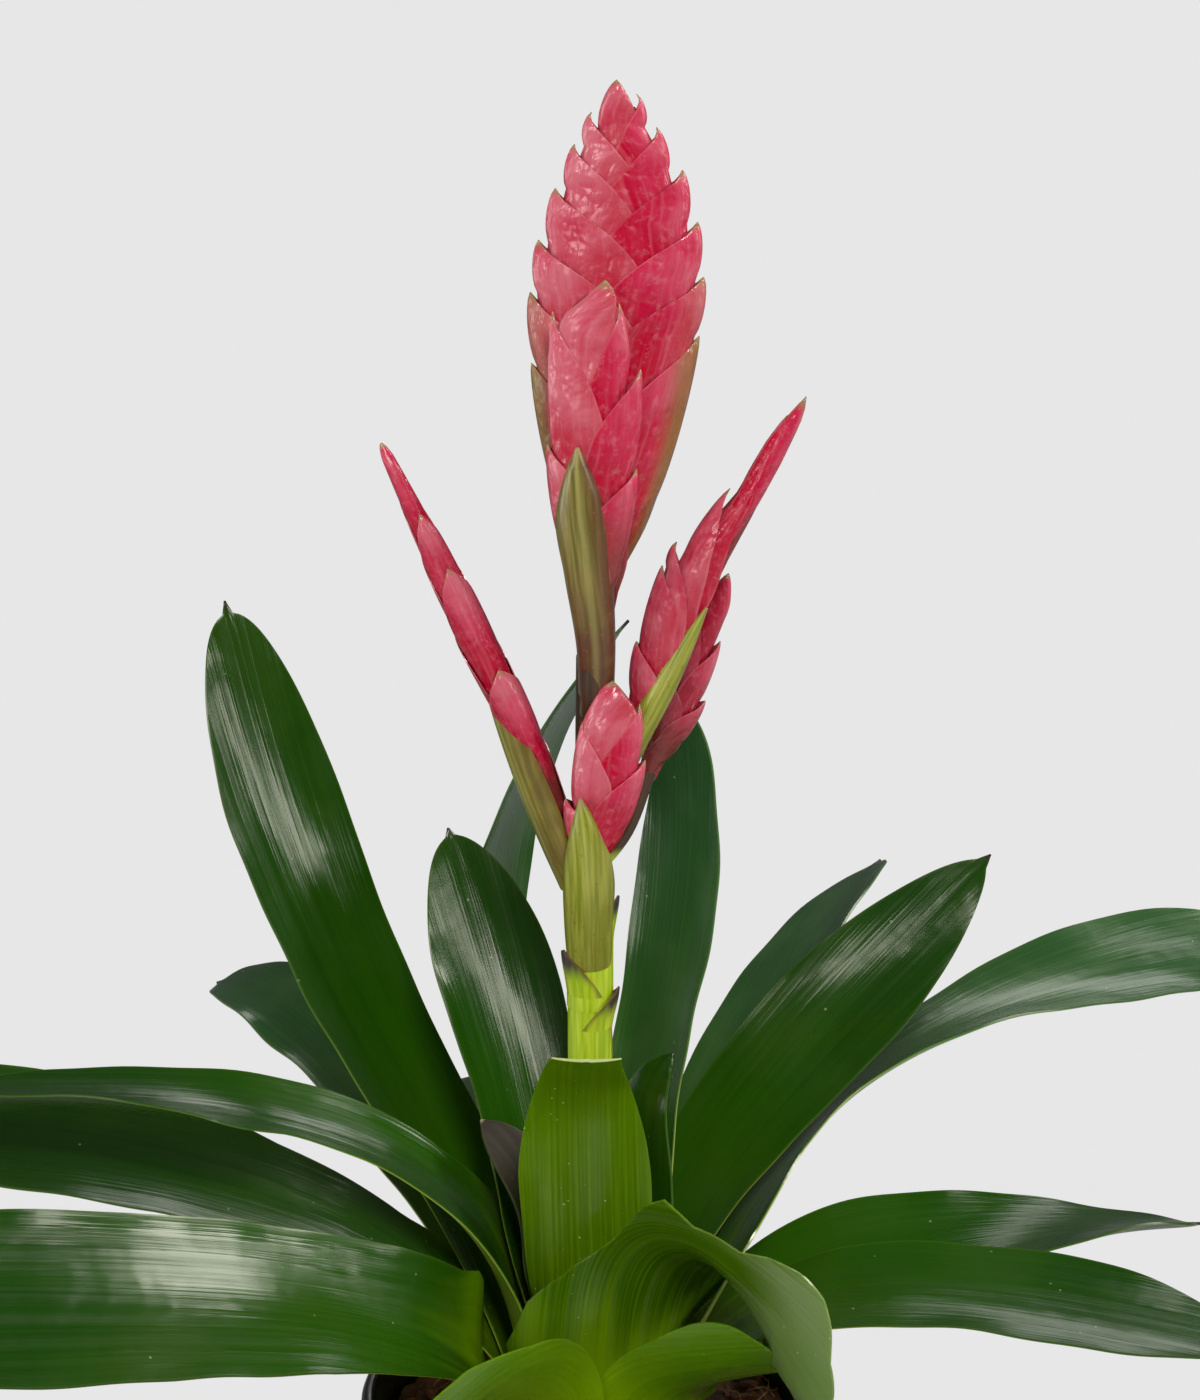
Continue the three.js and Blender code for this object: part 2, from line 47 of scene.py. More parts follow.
def smooth(low, high, x):
    """Rises from 0 to 1 between low and high, with soft ends."""
    share = np.clip((np.asarray(x, float) - low) / (high - low), 0, 1)
    return share * share * (3 - 2 * share)


def unit(v):
    """A vector, or each row of an array, made one long."""
    return np.asarray(v, float) / np.linalg.norm(v, axis=-1, keepdims=True)


def srgb(red, green, blue):
    """A colour, 0 to 255, as Blender's linear colour."""
    out = []
    for value in (red, green, blue):
        c = value / 255
        out.append(c / 12.92 if c <= 0.04045 else ((c + 0.055) / 1.055) ** 2.4)
    return (*out, 1.0)


# Node materials. A colour is three numbers from 0 to 255.

class Shade:
    """A material whose Principled shader is fed by a few nodes, and whose colour is laid on in steps."""

    def __init__(self, name, **inputs):
        self.material = bpy.data.materials.new(name)
        self.material.use_nodes = True
        self.tree = self.material.node_tree
        self.shader = self.tree.nodes["Principled BSDF"]
        self.color = None
        for socket, value in inputs.items():
            self.shader.inputs[socket.replace("_", " ")].default_value = value

    def node(self, kind, **settings):
        made = self.tree.nodes.new(kind)
        for setting, value in settings.items():
            setattr(made, setting, value)
        return made

    def put(self, socket, value):
        """Feeds a socket from another socket, a number or a colour."""
        if isinstance(value, bpy.types.NodeSocket):
            self.tree.links.new(value, socket)
        else:
            socket.default_value = value

    def field(self, name):
        """The three numbers kept at each point of a mesh under this name."""
        read = self.node("ShaderNodeAttribute", attribute_name=name)
        parts = self.node("ShaderNodeSeparateXYZ")
        self.put(parts.inputs[0], read.outputs["Vector"])
        return tuple(parts.outputs)

    def object_place(self, scale=(1, 1, 1)):
        coordinates = self.node("ShaderNodeTexCoord")
        mapping = self.node("ShaderNodeMapping")
        mapping.inputs["Scale"].default_value = scale
        self.put(mapping.inputs["Vector"], coordinates.outputs["Object"])
        return mapping.outputs["Vector"]

    def maths(self, operation, a, b=0.0):
        made = self.node("ShaderNodeMath", operation=operation)
        self.put(made.inputs[0], a)
        self.put(made.inputs[1], b)
        return made.outputs[0]

    def times(self, first, *others):
        for other in others:
            first = self.maths("MULTIPLY", first, other)
        return first

    def span(self, value, low, high, to_low=0.0, to_high=1.0):
        """Maps low..high onto to_low..to_high, clamped."""
        made = self.node("ShaderNodeMapRange", interpolation_type="SMOOTHSTEP")
        for socket, number in zip(made.inputs[:5], (value, low, high, to_low, to_high)):
            self.put(socket, number)
        return made.outputs[0]

    def noise(self, place, scale, detail, roughness=0.5):
        made = self.node("ShaderNodeTexNoise")
        self.put(made.inputs["Vector"], place)
        made.inputs["Scale"].default_value = scale
        made.inputs["Detail"].default_value = detail
        made.inputs["Roughness"].default_value = roughness
        return made.outputs["Fac"]

    def spot(self, ruler, seed=None, squeeze=None):
        """A place on a mesh's own ruler. A seed stands in for the ruler's third number."""
        run, lateral, own_seed = ruler
        place = self.node("ShaderNodeCombineXYZ")
        self.put(place.inputs[0], run if squeeze is None else self.times(run, squeeze))
        self.put(place.inputs[1], lateral)
        self.put(place.inputs[2], own_seed if seed is None else seed)
        return place.outputs[0]

    def grain(self, ruler, scale, detail, seed=None, squeeze=None, roughness=0.5):
        """Noise on a mesh's own ruler, drawn out lengthwise by a squeeze below 1."""
        return self.noise(self.spot(ruler, seed, squeeze), scale, detail, roughness)

    def specks(self, ruler, scale, edge, middle, seed=None):
        """Scattered round specks, 1 inside and 0 outside."""
        cells = self.node("ShaderNodeTexVoronoi")
        self.put(cells.inputs["Vector"], self.spot(ruler, seed))
        cells.inputs["Scale"].default_value = scale
        return self.span(cells.outputs["Distance"], edge, middle)

    def mix(self, share, first, second):
        made = self.node("ShaderNodeMix", data_type="RGBA")
        self.put(made.inputs["Factor"], share)
        for socket, color in ((made.inputs[6], first), (made.inputs[7], second)):
            self.put(socket, srgb(*color) if isinstance(color, tuple) else color)
        return made.outputs[2]

    def lay(self, color, *shares):
        """Lays a colour over the one so far, as strongly as the product of the shares."""
        self.color = self.mix(self.times(*shares), self.color, color)

    def bump(self, height, strength, distance, under=None):
        made = self.node("ShaderNodeBump")
        made.inputs["Strength"].default_value = strength
        made.inputs["Distance"].default_value = distance * MM
        self.put(made.inputs["Height"], height)
        if under is not None:
            self.put(made.inputs["Normal"], under)
        return made.outputs[0]

    def finish(self, roughness, normal=None):
        self.put(self.shader.inputs["Base Color"], self.color)
        self.put(self.shader.inputs["Roughness"], roughness)
        if normal is not None:
            self.put(self.shader.inputs["Normal"], normal)
        return self.material


def leaf_material(
    name, foot, blade, deep, back, vein, painted_light_under_foot=(150, 168, 60), under_share=0.75, end=(52, 38, 28),
    streaks=0.1, bloom=0.0, dull=0.0, thin=0.0, specks=0.0, early=(0.03, 0.24), late=(0.3, 0.85),
):
    """A strap leaf: yellow-green at its foot, darker outwards, with fine lengthwise veins."""
    shade = Shade(
        name, Specular_IOR_Level=0.5, Specular_Tint=(1.0, 0.97, 0.82, 1.0),
        Subsurface_Weight=thin, Subsurface_Radius=(1.0, 1.0, 0.3), Subsurface_Scale=2.0 * MM,
    )
    share, _, upper = shade.field("leaf_place")
    ruler = shade.field("leaf_ruler")
    margin = ruler[2]
    lines = shade.grain(ruler, 1.3, 3.0, seed=3.0, squeeze=0.012)
    bands = shade.grain(ruler, 0.42, 2.0, seed=21.0, squeeze=0.01)
    broad = shade.grain(ruler, 0.16, 2.0, seed=9.0, squeeze=0.02)
    patch = shade.grain(ruler, 0.035, 3.0, seed=5.0)
    place = shade.maths("ADD", share, shade.times(shade.maths("SUBTRACT", broad, 0.5), 0.3))
    shade.color = shade.mix(shade.span(place, *early), foot, blade)
    shade.lay(deep, shade.span(place, *late))
    shade.lay(vein, shade.span(lines, 0.35, 0.75), streaks)
    shade.lay(deep, shade.span(bands, 0.5, 0.3), 0.15)
    shade.lay(back, shade.span(patch, 0.42, 0.7), 0.25 + bloom)
    # The underside takes its own colour further out, and near the foot a paler one that is painted light on
    # the shaded leaf bases.
    under = shade.times(shade.span(upper, 0.6, 0.4), under_share)
    shade.lay(shade.mix(shade.span(share, 0.3, 0.55), painted_light_under_foot, back), under)
    shade.lay((100, 124, 40), shade.span(margin, 0.7, 0.1), 0.15)
    shade.lay((170, 182, 140), shade.specks(ruler, 0.11, 0.05, 0.02, seed=1.0), 0.5)
    dust = shade.specks(ruler, 0.34, 0.09, 0.05, seed=4.0)
    shade.lay((214, 220, 180), dust, specks, shade.span(patch, 0.5, 0.62))
    shade.lay(end, shade.span(share, 0.985, 0.997))
    rough = shade.span(bands, 0.32, 0.66, 0.15 + dull, 0.26 + dull)
    rough = shade.maths("ADD", rough, shade.times(under, 0.12))
    ribs = shade.bump(bands, 0.22, 0.6, shade.bump(lines, 0.35, 0.2))
    return shade.finish(rough, shade.bump(patch, 0.35, 2.0, ribs))


def bract_material(name, deep, pink, pale, olive, edge):
    """A waxy bract: deep red where it is sheltered, pink outwards, olive at its keel and tip, with a painted
    sheen on the left-hand bracts.
    """
    shade = Shade(name, Specular_IOR_Level=0.5, Specular_Tint=(1.0, 0.94, 0.94, 1.0))
    share, margin, keel = shade.field("bract_place")
    height, painted_sheen_side, ageing = shade.field("bract_tone")
    ruler = shade.field("bract_ruler")
    lines = shade.grain(ruler, 0.9, 3.0, squeeze=0.06)
    patch = shade.grain(ruler, 0.09, 3.0)
    mottle = shade.grain(ruler, 0.5, 4.0, roughness=0.65)
    crumple = shade.grain(ruler, 0.3, 2.0, squeeze=0.3)
    outward = shade.maths("ADD", share, shade.maths("SUBTRACT", patch, 0.5))
    outward = shade.maths("ADD", outward, shade.times(keel, 0.3))
    shade.color = shade.mix(shade.span(outward, 0.6, 1.2), deep, pink)
    blotch = shade.span(patch, 0.35, 0.65, 0.05, 0.6)
    shade.lay(pale, shade.span(keel, 0.3, 1.0), shade.span(share, 0.5, 0.95), blotch)
    # Left-hand bracts are paler: a painted sheen where the lamp on the left glints on them.
    blotch = shade.span(patch, 0.3, 0.7, 0.1, 0.5)
    shade.lay(pale, shade.span(painted_sheen_side, 0.3, 0.7), blotch, shade.span(share, 0.3, 0.75))
    shade.lay(pale, shade.span(mottle, 0.5, 0.72), 0.35)
    shade.lay(pale, shade.span(lines, 0.48, 0.78), 0.28)
    # Darker where the fine lines dip: partly the veins' own tone, partly painted shade in the furrows that
    # the bump makes.
    shade.lay(deep, shade.span(lines, 0.5, 0.25), 0.25)
    shade.lay((124, 62, 52), shade.span(height, 1.0, 0.35), shade.span(patch, 0.2, 0.7, 0.6, 0.95))
    shade.lay(olive, ageing, shade.span(keel, 0.6, 0.95), shade.span(lines, 0.2, 0.6, 0.6, 1.0))
    shade.lay(edge, shade.span(margin, 0.6, 0.1), shade.span(patch, 0.3, 0.7, 0.05, 0.35))
    shade.lay((160, 112, 84), shade.span(margin, 0.5, 0.1), shade.span(share, 0.9, 0.98), 0.6)
    shade.lay((158, 124, 84), shade.span(share, 0.95, 0.995))
    veins = shade.bump(crumple, 0.5, 0.7, shade.bump(lines, 0.35, 0.2))
    return shade.finish(shade.span(crumple, 0.35, 0.65, 0.16, 0.34), shade.bump(patch, 0.6, 3.2, veins))


def green_bract_material():
    """The bracts under the spikes: yellow-green to olive, browner at the foot, with a painted highlight
    along the midrib.
    """
    shade = Shade("green_bract", Coat_Weight=0.3, Coat_Roughness=0.2)
    share, across, brown = shade.field("bract_place")
    ruler = shade.field("bract_ruler")
    lines = shade.grain(ruler, 1.1, 3.0, squeeze=0.05)
    patch = shade.grain(ruler, 0.12, 3.0)
    fresh = shade.mix(shade.span(lines, 0.35, 0.7), (132, 142, 20), (172, 174, 62))
    dull = shade.mix(shade.span(lines, 0.3, 0.75), (96, 90, 22), (150, 132, 62))
    shade.color = shade.mix(brown, fresh, dull)
    side = shade.times(shade.span(across, -0.2, 0.9), brown)
    foot = shade.times(shade.span(share, 0.62, 0.2), brown)
    shade.lay((96, 56, 32), shade.maths("MAXIMUM", side, foot), shade.span(patch, 0.2, 0.6, 0.55, 1.0))
    shade.lay((150, 84, 60), shade.specks(ruler, 0.45, 0.22, 0.08), 0.6)
    # Paler along the midrib: a painted highlight on the bract's ridge.
    shade.lay((206, 204, 120), shade.span(shade.maths("ABSOLUTE", across), 0.3, 0.0), 0.2)
    shade.lay((160, 140, 84), shade.span(share, 0.93, 1.0))
    return shade.finish(shade.span(lines, 0.3, 0.7, 0.28, 0.42), shade.bump(lines, 0.4, 0.3))


def stem_material():
    """The flower stem: bright yellow-green, then dark brown above the lower spikes."""
    shade = Shade("stem", Coat_Weight=0.3, Coat_Roughness=0.2)
    dark, _, _ = shade.field("stem_place")
    ruler = shade.field("stem_ruler")
    lines = shade.grain(ruler, 0.8, 3.0, squeeze=0.05)
    shade.color = shade.mix(shade.span(lines, 0.3, 0.75), (162, 190, 0), (218, 230, 56))
    shade.lay((122, 152, 4), shade.span(shade.grain(ruler, 0.1, 3.0), 0.5, 0.8), 0.4)
    brown = shade.mix(shade.span(lines, 0.3, 0.7), (40, 26, 12), (86, 58, 30))
    shade.lay(brown, shade.span(dark, 0.35, 0.65))
    return shade.finish(shade.span(lines, 0.3, 0.7, 0.3, 0.45), shade.bump(lines, 0.4, 0.3))


def sheath_material():
    """The small bracts on the stem: green like it, with a dark dry tip and edge."""
    shade = Shade("stem_sheath", Coat_Weight=0.2, Coat_Roughness=0.3)
    share, across, _ = shade.field("bract_place")
    lines = shade.grain(shade.field("bract_ruler"), 1.0, 3.0, squeeze=0.05)
    shade.color = shade.mix(shade.span(lines, 0.3, 0.75), (150, 182, 0), (202, 218, 48))
    limit = shade.maths("ADD", share, shade.times(lines, 0.2))
    shade.lay((58, 46, 44), shade.span(limit, 0.84, 1.02))
    shade.lay((120, 84, 48), shade.span(shade.maths("ABSOLUTE", across), 0.8, 0.98), 0.6)
    return shade.finish(shade.span(lines, 0.3, 0.7, 0.4, 0.6), shade.bump(lines, 0.4, 0.3))


def pot_material():
    """Thin black moulded plastic, with faint scuffs and dust."""
    shade = Shade("pot_plastic", Coat_Weight=0.1, Coat_Roughness=0.3)
    place = shade.object_place()
    scuff = shade.noise(shade.object_place((1, 1, 7)), 90, 4.0)
    cloud = shade.noise(place, 22, 4.0)
    shade.color = shade.mix(shade.span(cloud, 0.4, 0.75), (16, 20, 19), (36, 44, 41))
    shade.lay((84, 90, 80), shade.span(scuff, 0.58, 0.8), 0.35)
    fine = shade.noise(place, 900, 2.0)
    return shade.finish(shade.span(scuff, 0.3, 0.75, 0.26, 0.5), shade.bump(fine, 0.12, 0.1))


def soil_material(name, dark, light, scale):
    """Damp bark and coir."""
    shade = Shade(name)
    place = shade.object_place()
    coarse = shade.noise(place, scale, 6.0, 0.65)
    fine = shade.noise(place, scale * 6, 5.0, 0.7)
    shade.color = shade.mix(shade.span(coarse, 0.35, 0.68), dark, light)
    shade.lay((128, 88, 52), shade.span(fine, 0.55, 0.8), 0.5)
    normal = shade.bump(fine, 0.7, 0.6, shade.bump(coarse, 0.6, 1.5))
    return shade.finish(shade.span(fine, 0.3, 0.7, 0.6, 0.9), normal)


def straw_material():
    shade = Shade("coir_fibre")
    place = shade.object_place()
    strands = shade.noise(place, 260, 3.0)
    shade.color = shade.mix(shade.span(strands, 0.35, 0.7), (112, 72, 38), (186, 150, 96))
    return shade.finish(shade.span(shade.noise(place, 400, 2.0), 0.3, 0.7, 0.55, 0.8))


# Meshes

def add_object(name, data):
    made = bpy.data.objects.new(name, data)
    bpy.context.scene.collection.objects.link(made)
    return made


def make_piece(name, vertices, faces, material, fields, slot, nodes=(), crease=50):
    """A mesh object from points in millimetres, which rides with the part."""
    mesh = bpy.data.meshes.new(name)
    mesh.from_pydata((np.reshape(vertices, (-1, 3)) * MM).tolist(), [], [tuple(face) for face in faces])
    for field_name, values in fields.items():
        store = mesh.attributes.new(field_name, "FLOAT_VECTOR", "POINT")
        store.data.foreach_set("vector", np.asarray(values, np.float32).ravel())
    work = bmesh.new()
    work.from_mesh(mesh)
    bmesh.ops.recalc_face_normals(work, faces=work.faces)
    work.to_mesh(mesh)
    work.free()
    mesh.polygons.foreach_set("use_smooth", [True] * len(mesh.polygons))
    mesh.set_sharp_from_angle(angle=math.radians(crease))
    mesh.materials.append(material)
    piece = add_object(name, mesh)
    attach(piece, "root")
    if nodes:
        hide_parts(*nodes)
    return piece


def triples(shape, first, second, third):
    """Three numbers for each point of a grid of this shape."""
    return np.stack([np.broadcast_to(part, shape) for part in (first, second, third)], -1)


def ring_faces(rows, sides):
    """Faces of a body made of rings of points, with a cap at each end."""
    faces = []
    for i in range(rows - 1):
        for j in range(sides):
            k = (j + 1) % sides
            faces.append((i * sides + j, i * sides + k, (i + 1) * sides + k, (i + 1) * sides + j))
    faces.append(tuple(range(sides - 1, -1, -1)))
    faces.append(tuple((rows - 1) * sides + j for j in range(sides)))
    return faces


def closed_sheet(first, second):
    """Points and faces of a thin closed sheet between two grids of the same shape."""
    rows, columns = first.shape[:2]
    count = rows * columns
    index = np.arange(count).reshape(rows, columns)
    a = index[:-1, :-1].ravel()
    b = index[1:, :-1].ravel()
    c = index[1:, 1:].ravel()
    d = index[:-1, 1:].ravel()
    faces = [np.stack([a, b, c, d], 1), np.stack([a, d, c, b], 1) + count]
    loop = np.concatenate([index[0, :-1], index[:-1, -1], index[-1, :0:-1], index[:0:-1, 0]])
    after = np.roll(loop, -1)
    faces.append(np.stack([loop, after, after + count, loop + count], 1))
    points = np.concatenate([first.reshape(-1, 3), second.reshape(-1, 3)])
    return points, np.concatenate(faces)


class Gather:
    """Collects several bodies into one piece."""

    def __init__(self):
        self.points = []
        self.faces = []
        self.fields = {}
        self.count = 0

    def add(self, points, faces, **fields):
        points = np.asarray(points, float).reshape(-1, 3)
        self.faces += [tuple(int(i) + self.count for i in face) for face in faces]
        self.points.append(points)
        self.count += len(points)
        for name, values in fields.items():
            self.fields.setdefault(name, []).append(values.reshape(-1, 3))

    def add_sheet(self, outer, inner, **fields):
        """Adds a thin closed sheet, whose two sides have the same fields."""
        points, faces = closed_sheet(outer, inner)
        self.add(points, faces, **{name: np.stack([values, values]) for name, values in fields.items()})

    def make(self, name, material, slot, **options):
        fields = {key: np.concatenate(values) for key, values in self.fields.items()}
        return make_piece(name, np.concatenate(self.points), self.faces, material, fields, slot, **options)


def tube(path, radii, sides):
    """A closed round tube along a path, as points, faces and each point's angle."""
    path = np.asarray(path, float)
    forward = unit(np.gradient(path, axis=0))
    side = unit(np.cross(forward, [0.0, 1.0, 0.13]))
    through = np.cross(forward, side)
    angles = np.linspace(0, 2 * math.pi, sides, endpoint=False)
    ring = np.cos(angles)[:, None] * side[:, None] + np.sin(angles)[:, None] * through[:, None]
    points = path[:, None] + ring * np.asarray(radii, float)[:, None, None]
    return points.reshape(-1, 3), ring_faces(len(path), sides), np.tile(angles, len(path))


def curve_through(rows, steps):
    """Rows of numbers resampled on a smooth curve through them."""
    rows = np.asarray(rows, float)
    gaps = np.linalg.norm(np.diff(rows[:, :3], axis=0), axis=1)
    at = np.concatenate([[0], np.cumsum(gaps)])
    at /= at[-1]
    slopes = np.gradient(rows, at, axis=0)
    out = []
    for t in np.linspace(0, 1, steps):
        k = min(np.searchsorted(at, t, side="right") - 1, len(at) - 2)
        span = at[k + 1] - at[k]
        f = (t - at[k]) / span
        keep = (1 + 2 * f) * (1 - f) ** 2
        out.append(
            rows[k] * keep
            + rows[k + 1] * (1 - keep)
            + slopes[k] * span * f * (1 - f) ** 2
            - slopes[k + 1] * span * f * f * (1 - f)
        )
    return np.array(out)


# Leaves. The numbers are those of the CAD leaves, so each stands where its solid does, but for the curled
# front leaf, whose end hangs a little lower. Five entries are the scene's own.
# "wave" is how far the margins ripple, "point" is half the width of the small point at the end, and "hug"
# is how closely the base wraps. "sides" widens or narrows a leaf: rows of [place along it, factor on the
# side that turns clockwise round the stem, factor on the other]. "lift" moves the first side's margin:
# rows of [place along it, millimetres to the right, millimetres up].

RING_RADIUS = 9
RING_HEIGHT = 114
RING_DROP = 1.15
SHEATH_FLARE = math.radians(15)
LEAF_THICKNESS = 1.3
MARGIN_THICKNESS = 0.6
LEAF = dict(
    width=38, roll=0, turned=0.45, twist=0, cup=0.3, taper=0.3, blunt=2.2, neck=0.72, wrap=0.65,
    trimmed=0, wave=0.35, point=2.4, hug=1.0, sides=((0, 1, 1), (1, 1, 1)), lift=((0, 0, 0), (1, 0, 0)),
)
LEAVES = {
    "leaf_cut_front": dict(
        azimuth=269, rank=0, sheath=40, crest=(5, 198, -3), tip=(42, 216, 0),
        width=34, roll=-1, twist=1, taper=0.5, blunt=2, neck=0.85, trimmed=0.5,
    ),
    "leaf_inner_left": dict(
        azimuth=163, rank=0.4, sheath=36, crest=(5, 157, 1), tip=(30, 178, -1),
        width=25, roll=-7, twist=-11, taper=0.5, blunt=1.8, neck=0.5,
    ),
    "leaf_inner_right": dict(
        azimuth=24, rank=1.4, sheath=44, crest=(7, 184, 1), tip=(23, 197, -1),
        width=25, roll=20, twist=7, taper=0.5, blunt=1.6, neck=0.7,
    ),
    "leaf_upright_left": dict(
        azimuth=122, rank=2.2, sheath=41, crest=(38, 186, -2), tip=(65, 243, 4),
        roll=16, twist=-22, cup=0.35, taper=0.35, blunt=1.8, neck=0.8, wrap=0.7,
    ),
    "leaf_tall_right_back": dict(
        azimuth=73, rank=5.2, sheath=63, crest=(68, 211, -14), tip=(59, 279, -7),
        width=37, roll=-43, twist=10, cup=0.35, taper=0.4, blunt=2, neck=0.85,
    ),
    "leaf_arch_back": dict(
        azimuth=96, rank=6.6, sheath=50, crest=(99, 204, 55), tip=(66, 296, -17),
        width=32, roll=58, twist=5, neck=0.7, wrap=0.45,
    ),
    "leaf_band_left": dict(
        azimuth=188, rank=7, sheath=33, crest=(15, 201, 3), tip=(186, 197, 1),
        width=39, roll=-2, twist=21, cup=0.55, blunt=2, neck=0.85, hug=0.6,
        sides=(
            (0, 1.5, 1), (0.1, 1.9, 1), (0.16, 1.65, 0.95), (0.22, 1.25, 0.8), (0.3, 1, 0.6),
            (0.4, 1, 0.42), (0.5, 1, 0.35), (0.6, 1, 0.8), (0.7, 1, 1), (1, 1, 1),
        ),
    ),
    "leaf_big_right": dict(
        azimuth=25, rank=7.2, sheath=41, crest=(19, 135, 27), tip=(115, 238, -3),
        width=36, roll=17, twist=40, cup=0.35, taper=0.4, blunt=1.6, neck=0.85, wrap=0.55,
    ),
    "leaf_front_curl": dict(
        azimuth=317, rank=9.4, sheath=3, crest=(17, 208, -4.4), tip=(81.6, 126.4, -3.2),
        width=44, roll=-29, twist=-47, cup=0.35, taper=0.35, neck=1, wrap=0.85,
        sides=(
            (0, 1.6, 1), (0.2, 1.7, 1), (0.3, 1.5, 1), (0.36, 1.15, 1), (0.42, 0.88, 1), (0.46, 0.8, 1),
            (0.5, 0.88, 1), (0.54, 1.15, 1), (0.56, 1.28, 1), (0.585, 0.95, 1), (0.62, 1, 1), (0.66, 1, 1),
            (0.7, 1.25, 1), (0.75, 1.4, 0.95), (0.8, 1.4, 0.7), (0.85, 1.25, 0.62), (0.9, 1, 0.6),
            (1, 1, 0.8),
        ),
    ),
    "leaf_thin_right_back": dict(
        azimuth=54, rank=9.8, sheath=33, crest=(85, 206, -1), tip=(141, 212, 1),
        roll=-20, twist=-13, blunt=2, neck=0.85, wrap=0.7,
    ),
    "leaf_tall_left": dict(
        azimuth=140, rank=10, sheath=69, crest=(93, 163, -2), tip=(121, 300, 7),
        roll=4, twist=-24, cup=0.35, taper=0.35, blunt=2, neck=0.8,
    ),
    "leaf_dark_left": dict(
        azimuth=176, rank=11.2, sheath=44, crest=(65, 176, 0), tip=(213, 181, 6),
        roll=-19, twist=-11, taper=0.25, neck=0.85, wrap=0.55,
        sides=(
            (0, 1, 1), (0.15, 0.9, 1), (0.25, 0.6, 1), (0.42, 0.7, 1.25), (0.55, 0.95, 1.35),
            (0.7, 1, 1.15), (0.85, 1, 1), (1, 1, 1),
        ),
    ),
    "leaf_far_right": dict(
        azimuth=33, rank=11.6, sheath=50, crest=(82, 197, 7), tip=(226, 187, -7),
        width=39, roll=-27, twist=57, blunt=2.4, neck=0.85,
        sides=(
            (0, 1.4, 1), (0.1, 1.7, 1), (0.16, 1.95, 1), (0.2, 1.9, 1), (0.25, 1.5, 1), (0.3, 1, 1),
            (1, 1, 1),
        ),
    ),
    "leaf_wavy_left": dict(
        azimuth=131, rank=12.6, sheath=39, crest=(118, 193, 2), tip=(171, 168, -4),
        width=29, roll=-16, twist=-1, cup=0.35, neck=0.85, wave=0.8,
    ),
    "leaf_back_right_low": dict(
        azimuth=66, rank=13, sheath=37, crest=(84, 146, 0), tip=(96, 104, 0),
        roll=-2, twist=2, neck=0.7, wrap=0.5, sides=((0, 0.8, 0.8), (0.3, 0.4, 0.4), (1, 0.4, 0.4)),
    ),
    "leaf_low_right": dict(
        azimuth=347, rank=13.4, sheath=47, crest=(79, 152, -2), tip=(168, 137, 1),
        roll=9, neck=0.85,
    ),
    "leaf_low_right_back": dict(
        azimuth=8, rank=15.4, sheath=42, crest=(69, 146, -2), tip=(165, 140, 5),
        width=40, roll=19, twist=-40, cup=0.35, taper=0.25, blunt=2.4, neck=0.85,
    ),
    "leaf_back_left_low": dict(
        azimuth=112, rank=15.6, sheath=30, crest=(90, 160, 0), tip=(150, 130, 0),
    ),
    "leaf_big_left": dict(
        azimuth=219, rank=16.2, sheath=48, crest=(92, 164, 10), tip=(215, 189, -20),
        width=43, roll=-32, turned=0.3, twist=-23, cup=0.25, taper=0.25, neck=0.85, wrap=0.6, hug=0.5,
        sides=(
            (0, 0.9, 0.45), (0.1, 0.9, 0.45), (0.2, 1.05, 0.5), (0.3, 1.1, 0.72), (0.4, 1.05, 0.88),
            (0.6, 1.02, 1), (1, 1, 1),
        ),
        lift=(
            (0, 0, 0), (0.05, 3.2, 0.5), (0.08, 4.7, 9), (0.1, 6.1, 15.3), (0.12, 8, 21), (0.16, 6.6, 13.6),
            (0.2, 7.1, 9), (0.25, 6.6, 5.4), (0.3, 5, 3.3), (0.4, 0, 3), (0.5, 0, 2.5), (1, 0, 0),
        ),
    ),
    "leaf_front_right": dict(
        azimuth=310, rank=17.4, sheath=19, crest=(25, 120, -9), tip=(60, 129, 21),
        width=39, roll=-18, cup=0.6, taper=0.35, blunt=1.8, neck=0.9, wrap=1,
        sides=((0, 1, 1), (0.4, 1.1, 1), (0.5, 1.2, 1), (0.6, 1.35, 0.8), (0.8, 1.6, 0.6), (1, 1.6, 0.6)),
    ),
    "leaf_back_low": dict(
        azimuth=90, rank=18, sheath=25, crest=(84, 138, 0), tip=(146, 98, 0),
    ),
    "leaf_front_small": dict(
        azimuth=298, rank=20, sheath=20, crest=(50, 122, 0), tip=(80, 108, 0), width=28,
    ),
    "leaf_front_left_low": dict(
        azimuth=241, rank=20.8, sheath=27, crest=(50, 147, 22), tip=(88, 108, -24),
        width=40, roll=43, twist=1, cup=0.45, blunt=2.4, neck=0.9, wrap=1,
        sides=(
            (0, 1, 1), (0.25, 1, 1.05), (0.4, 1, 1.15), (0.5, 1, 1.25), (0.6, 1, 1.6), (0.75, 1, 1.6),
            (1, 1, 1),
        ),
    ),
}
LIGHT_LEAVES = (
    "leaf_cut_front", "leaf_front_curl", "leaf_front_right", "leaf_front_left_low", "leaf_front_small",
)
LEAF_KINDS = {
    "leaf_cut_front": "cut",
    "leaf_front_curl": "curl",
    "leaf_inner_left": "dark",
    "leaf_arch_back": "bluish",
    "leaf_wavy_left": "bluish",
    "leaf_far_right": "bluish",
    "leaf_thin_right_back": "bluish",
    "leaf_tall_right_back": "bluish",
}
LEAF_ROWS = 60
LEAF_END_ROWS = 36
LEAF_END = 0.86
LEAF_COLUMNS = 25


def bezier(points, t):
    """A cubic curve's points and directions at the parameters t."""
    a, b, c, d = points
    t = t[:, None]
    place = (1 - t) ** 3 * a + 3 * (1 - t) ** 2 * t * b + 3 * (1 - t) * t * t * c + t**3 * d
    slope = 3 * (1 - t) ** 2 * (b - a) + 6 * (1 - t) * t * (c - b) + 3 * t * t * (d - c)
    return place, unit(slope)


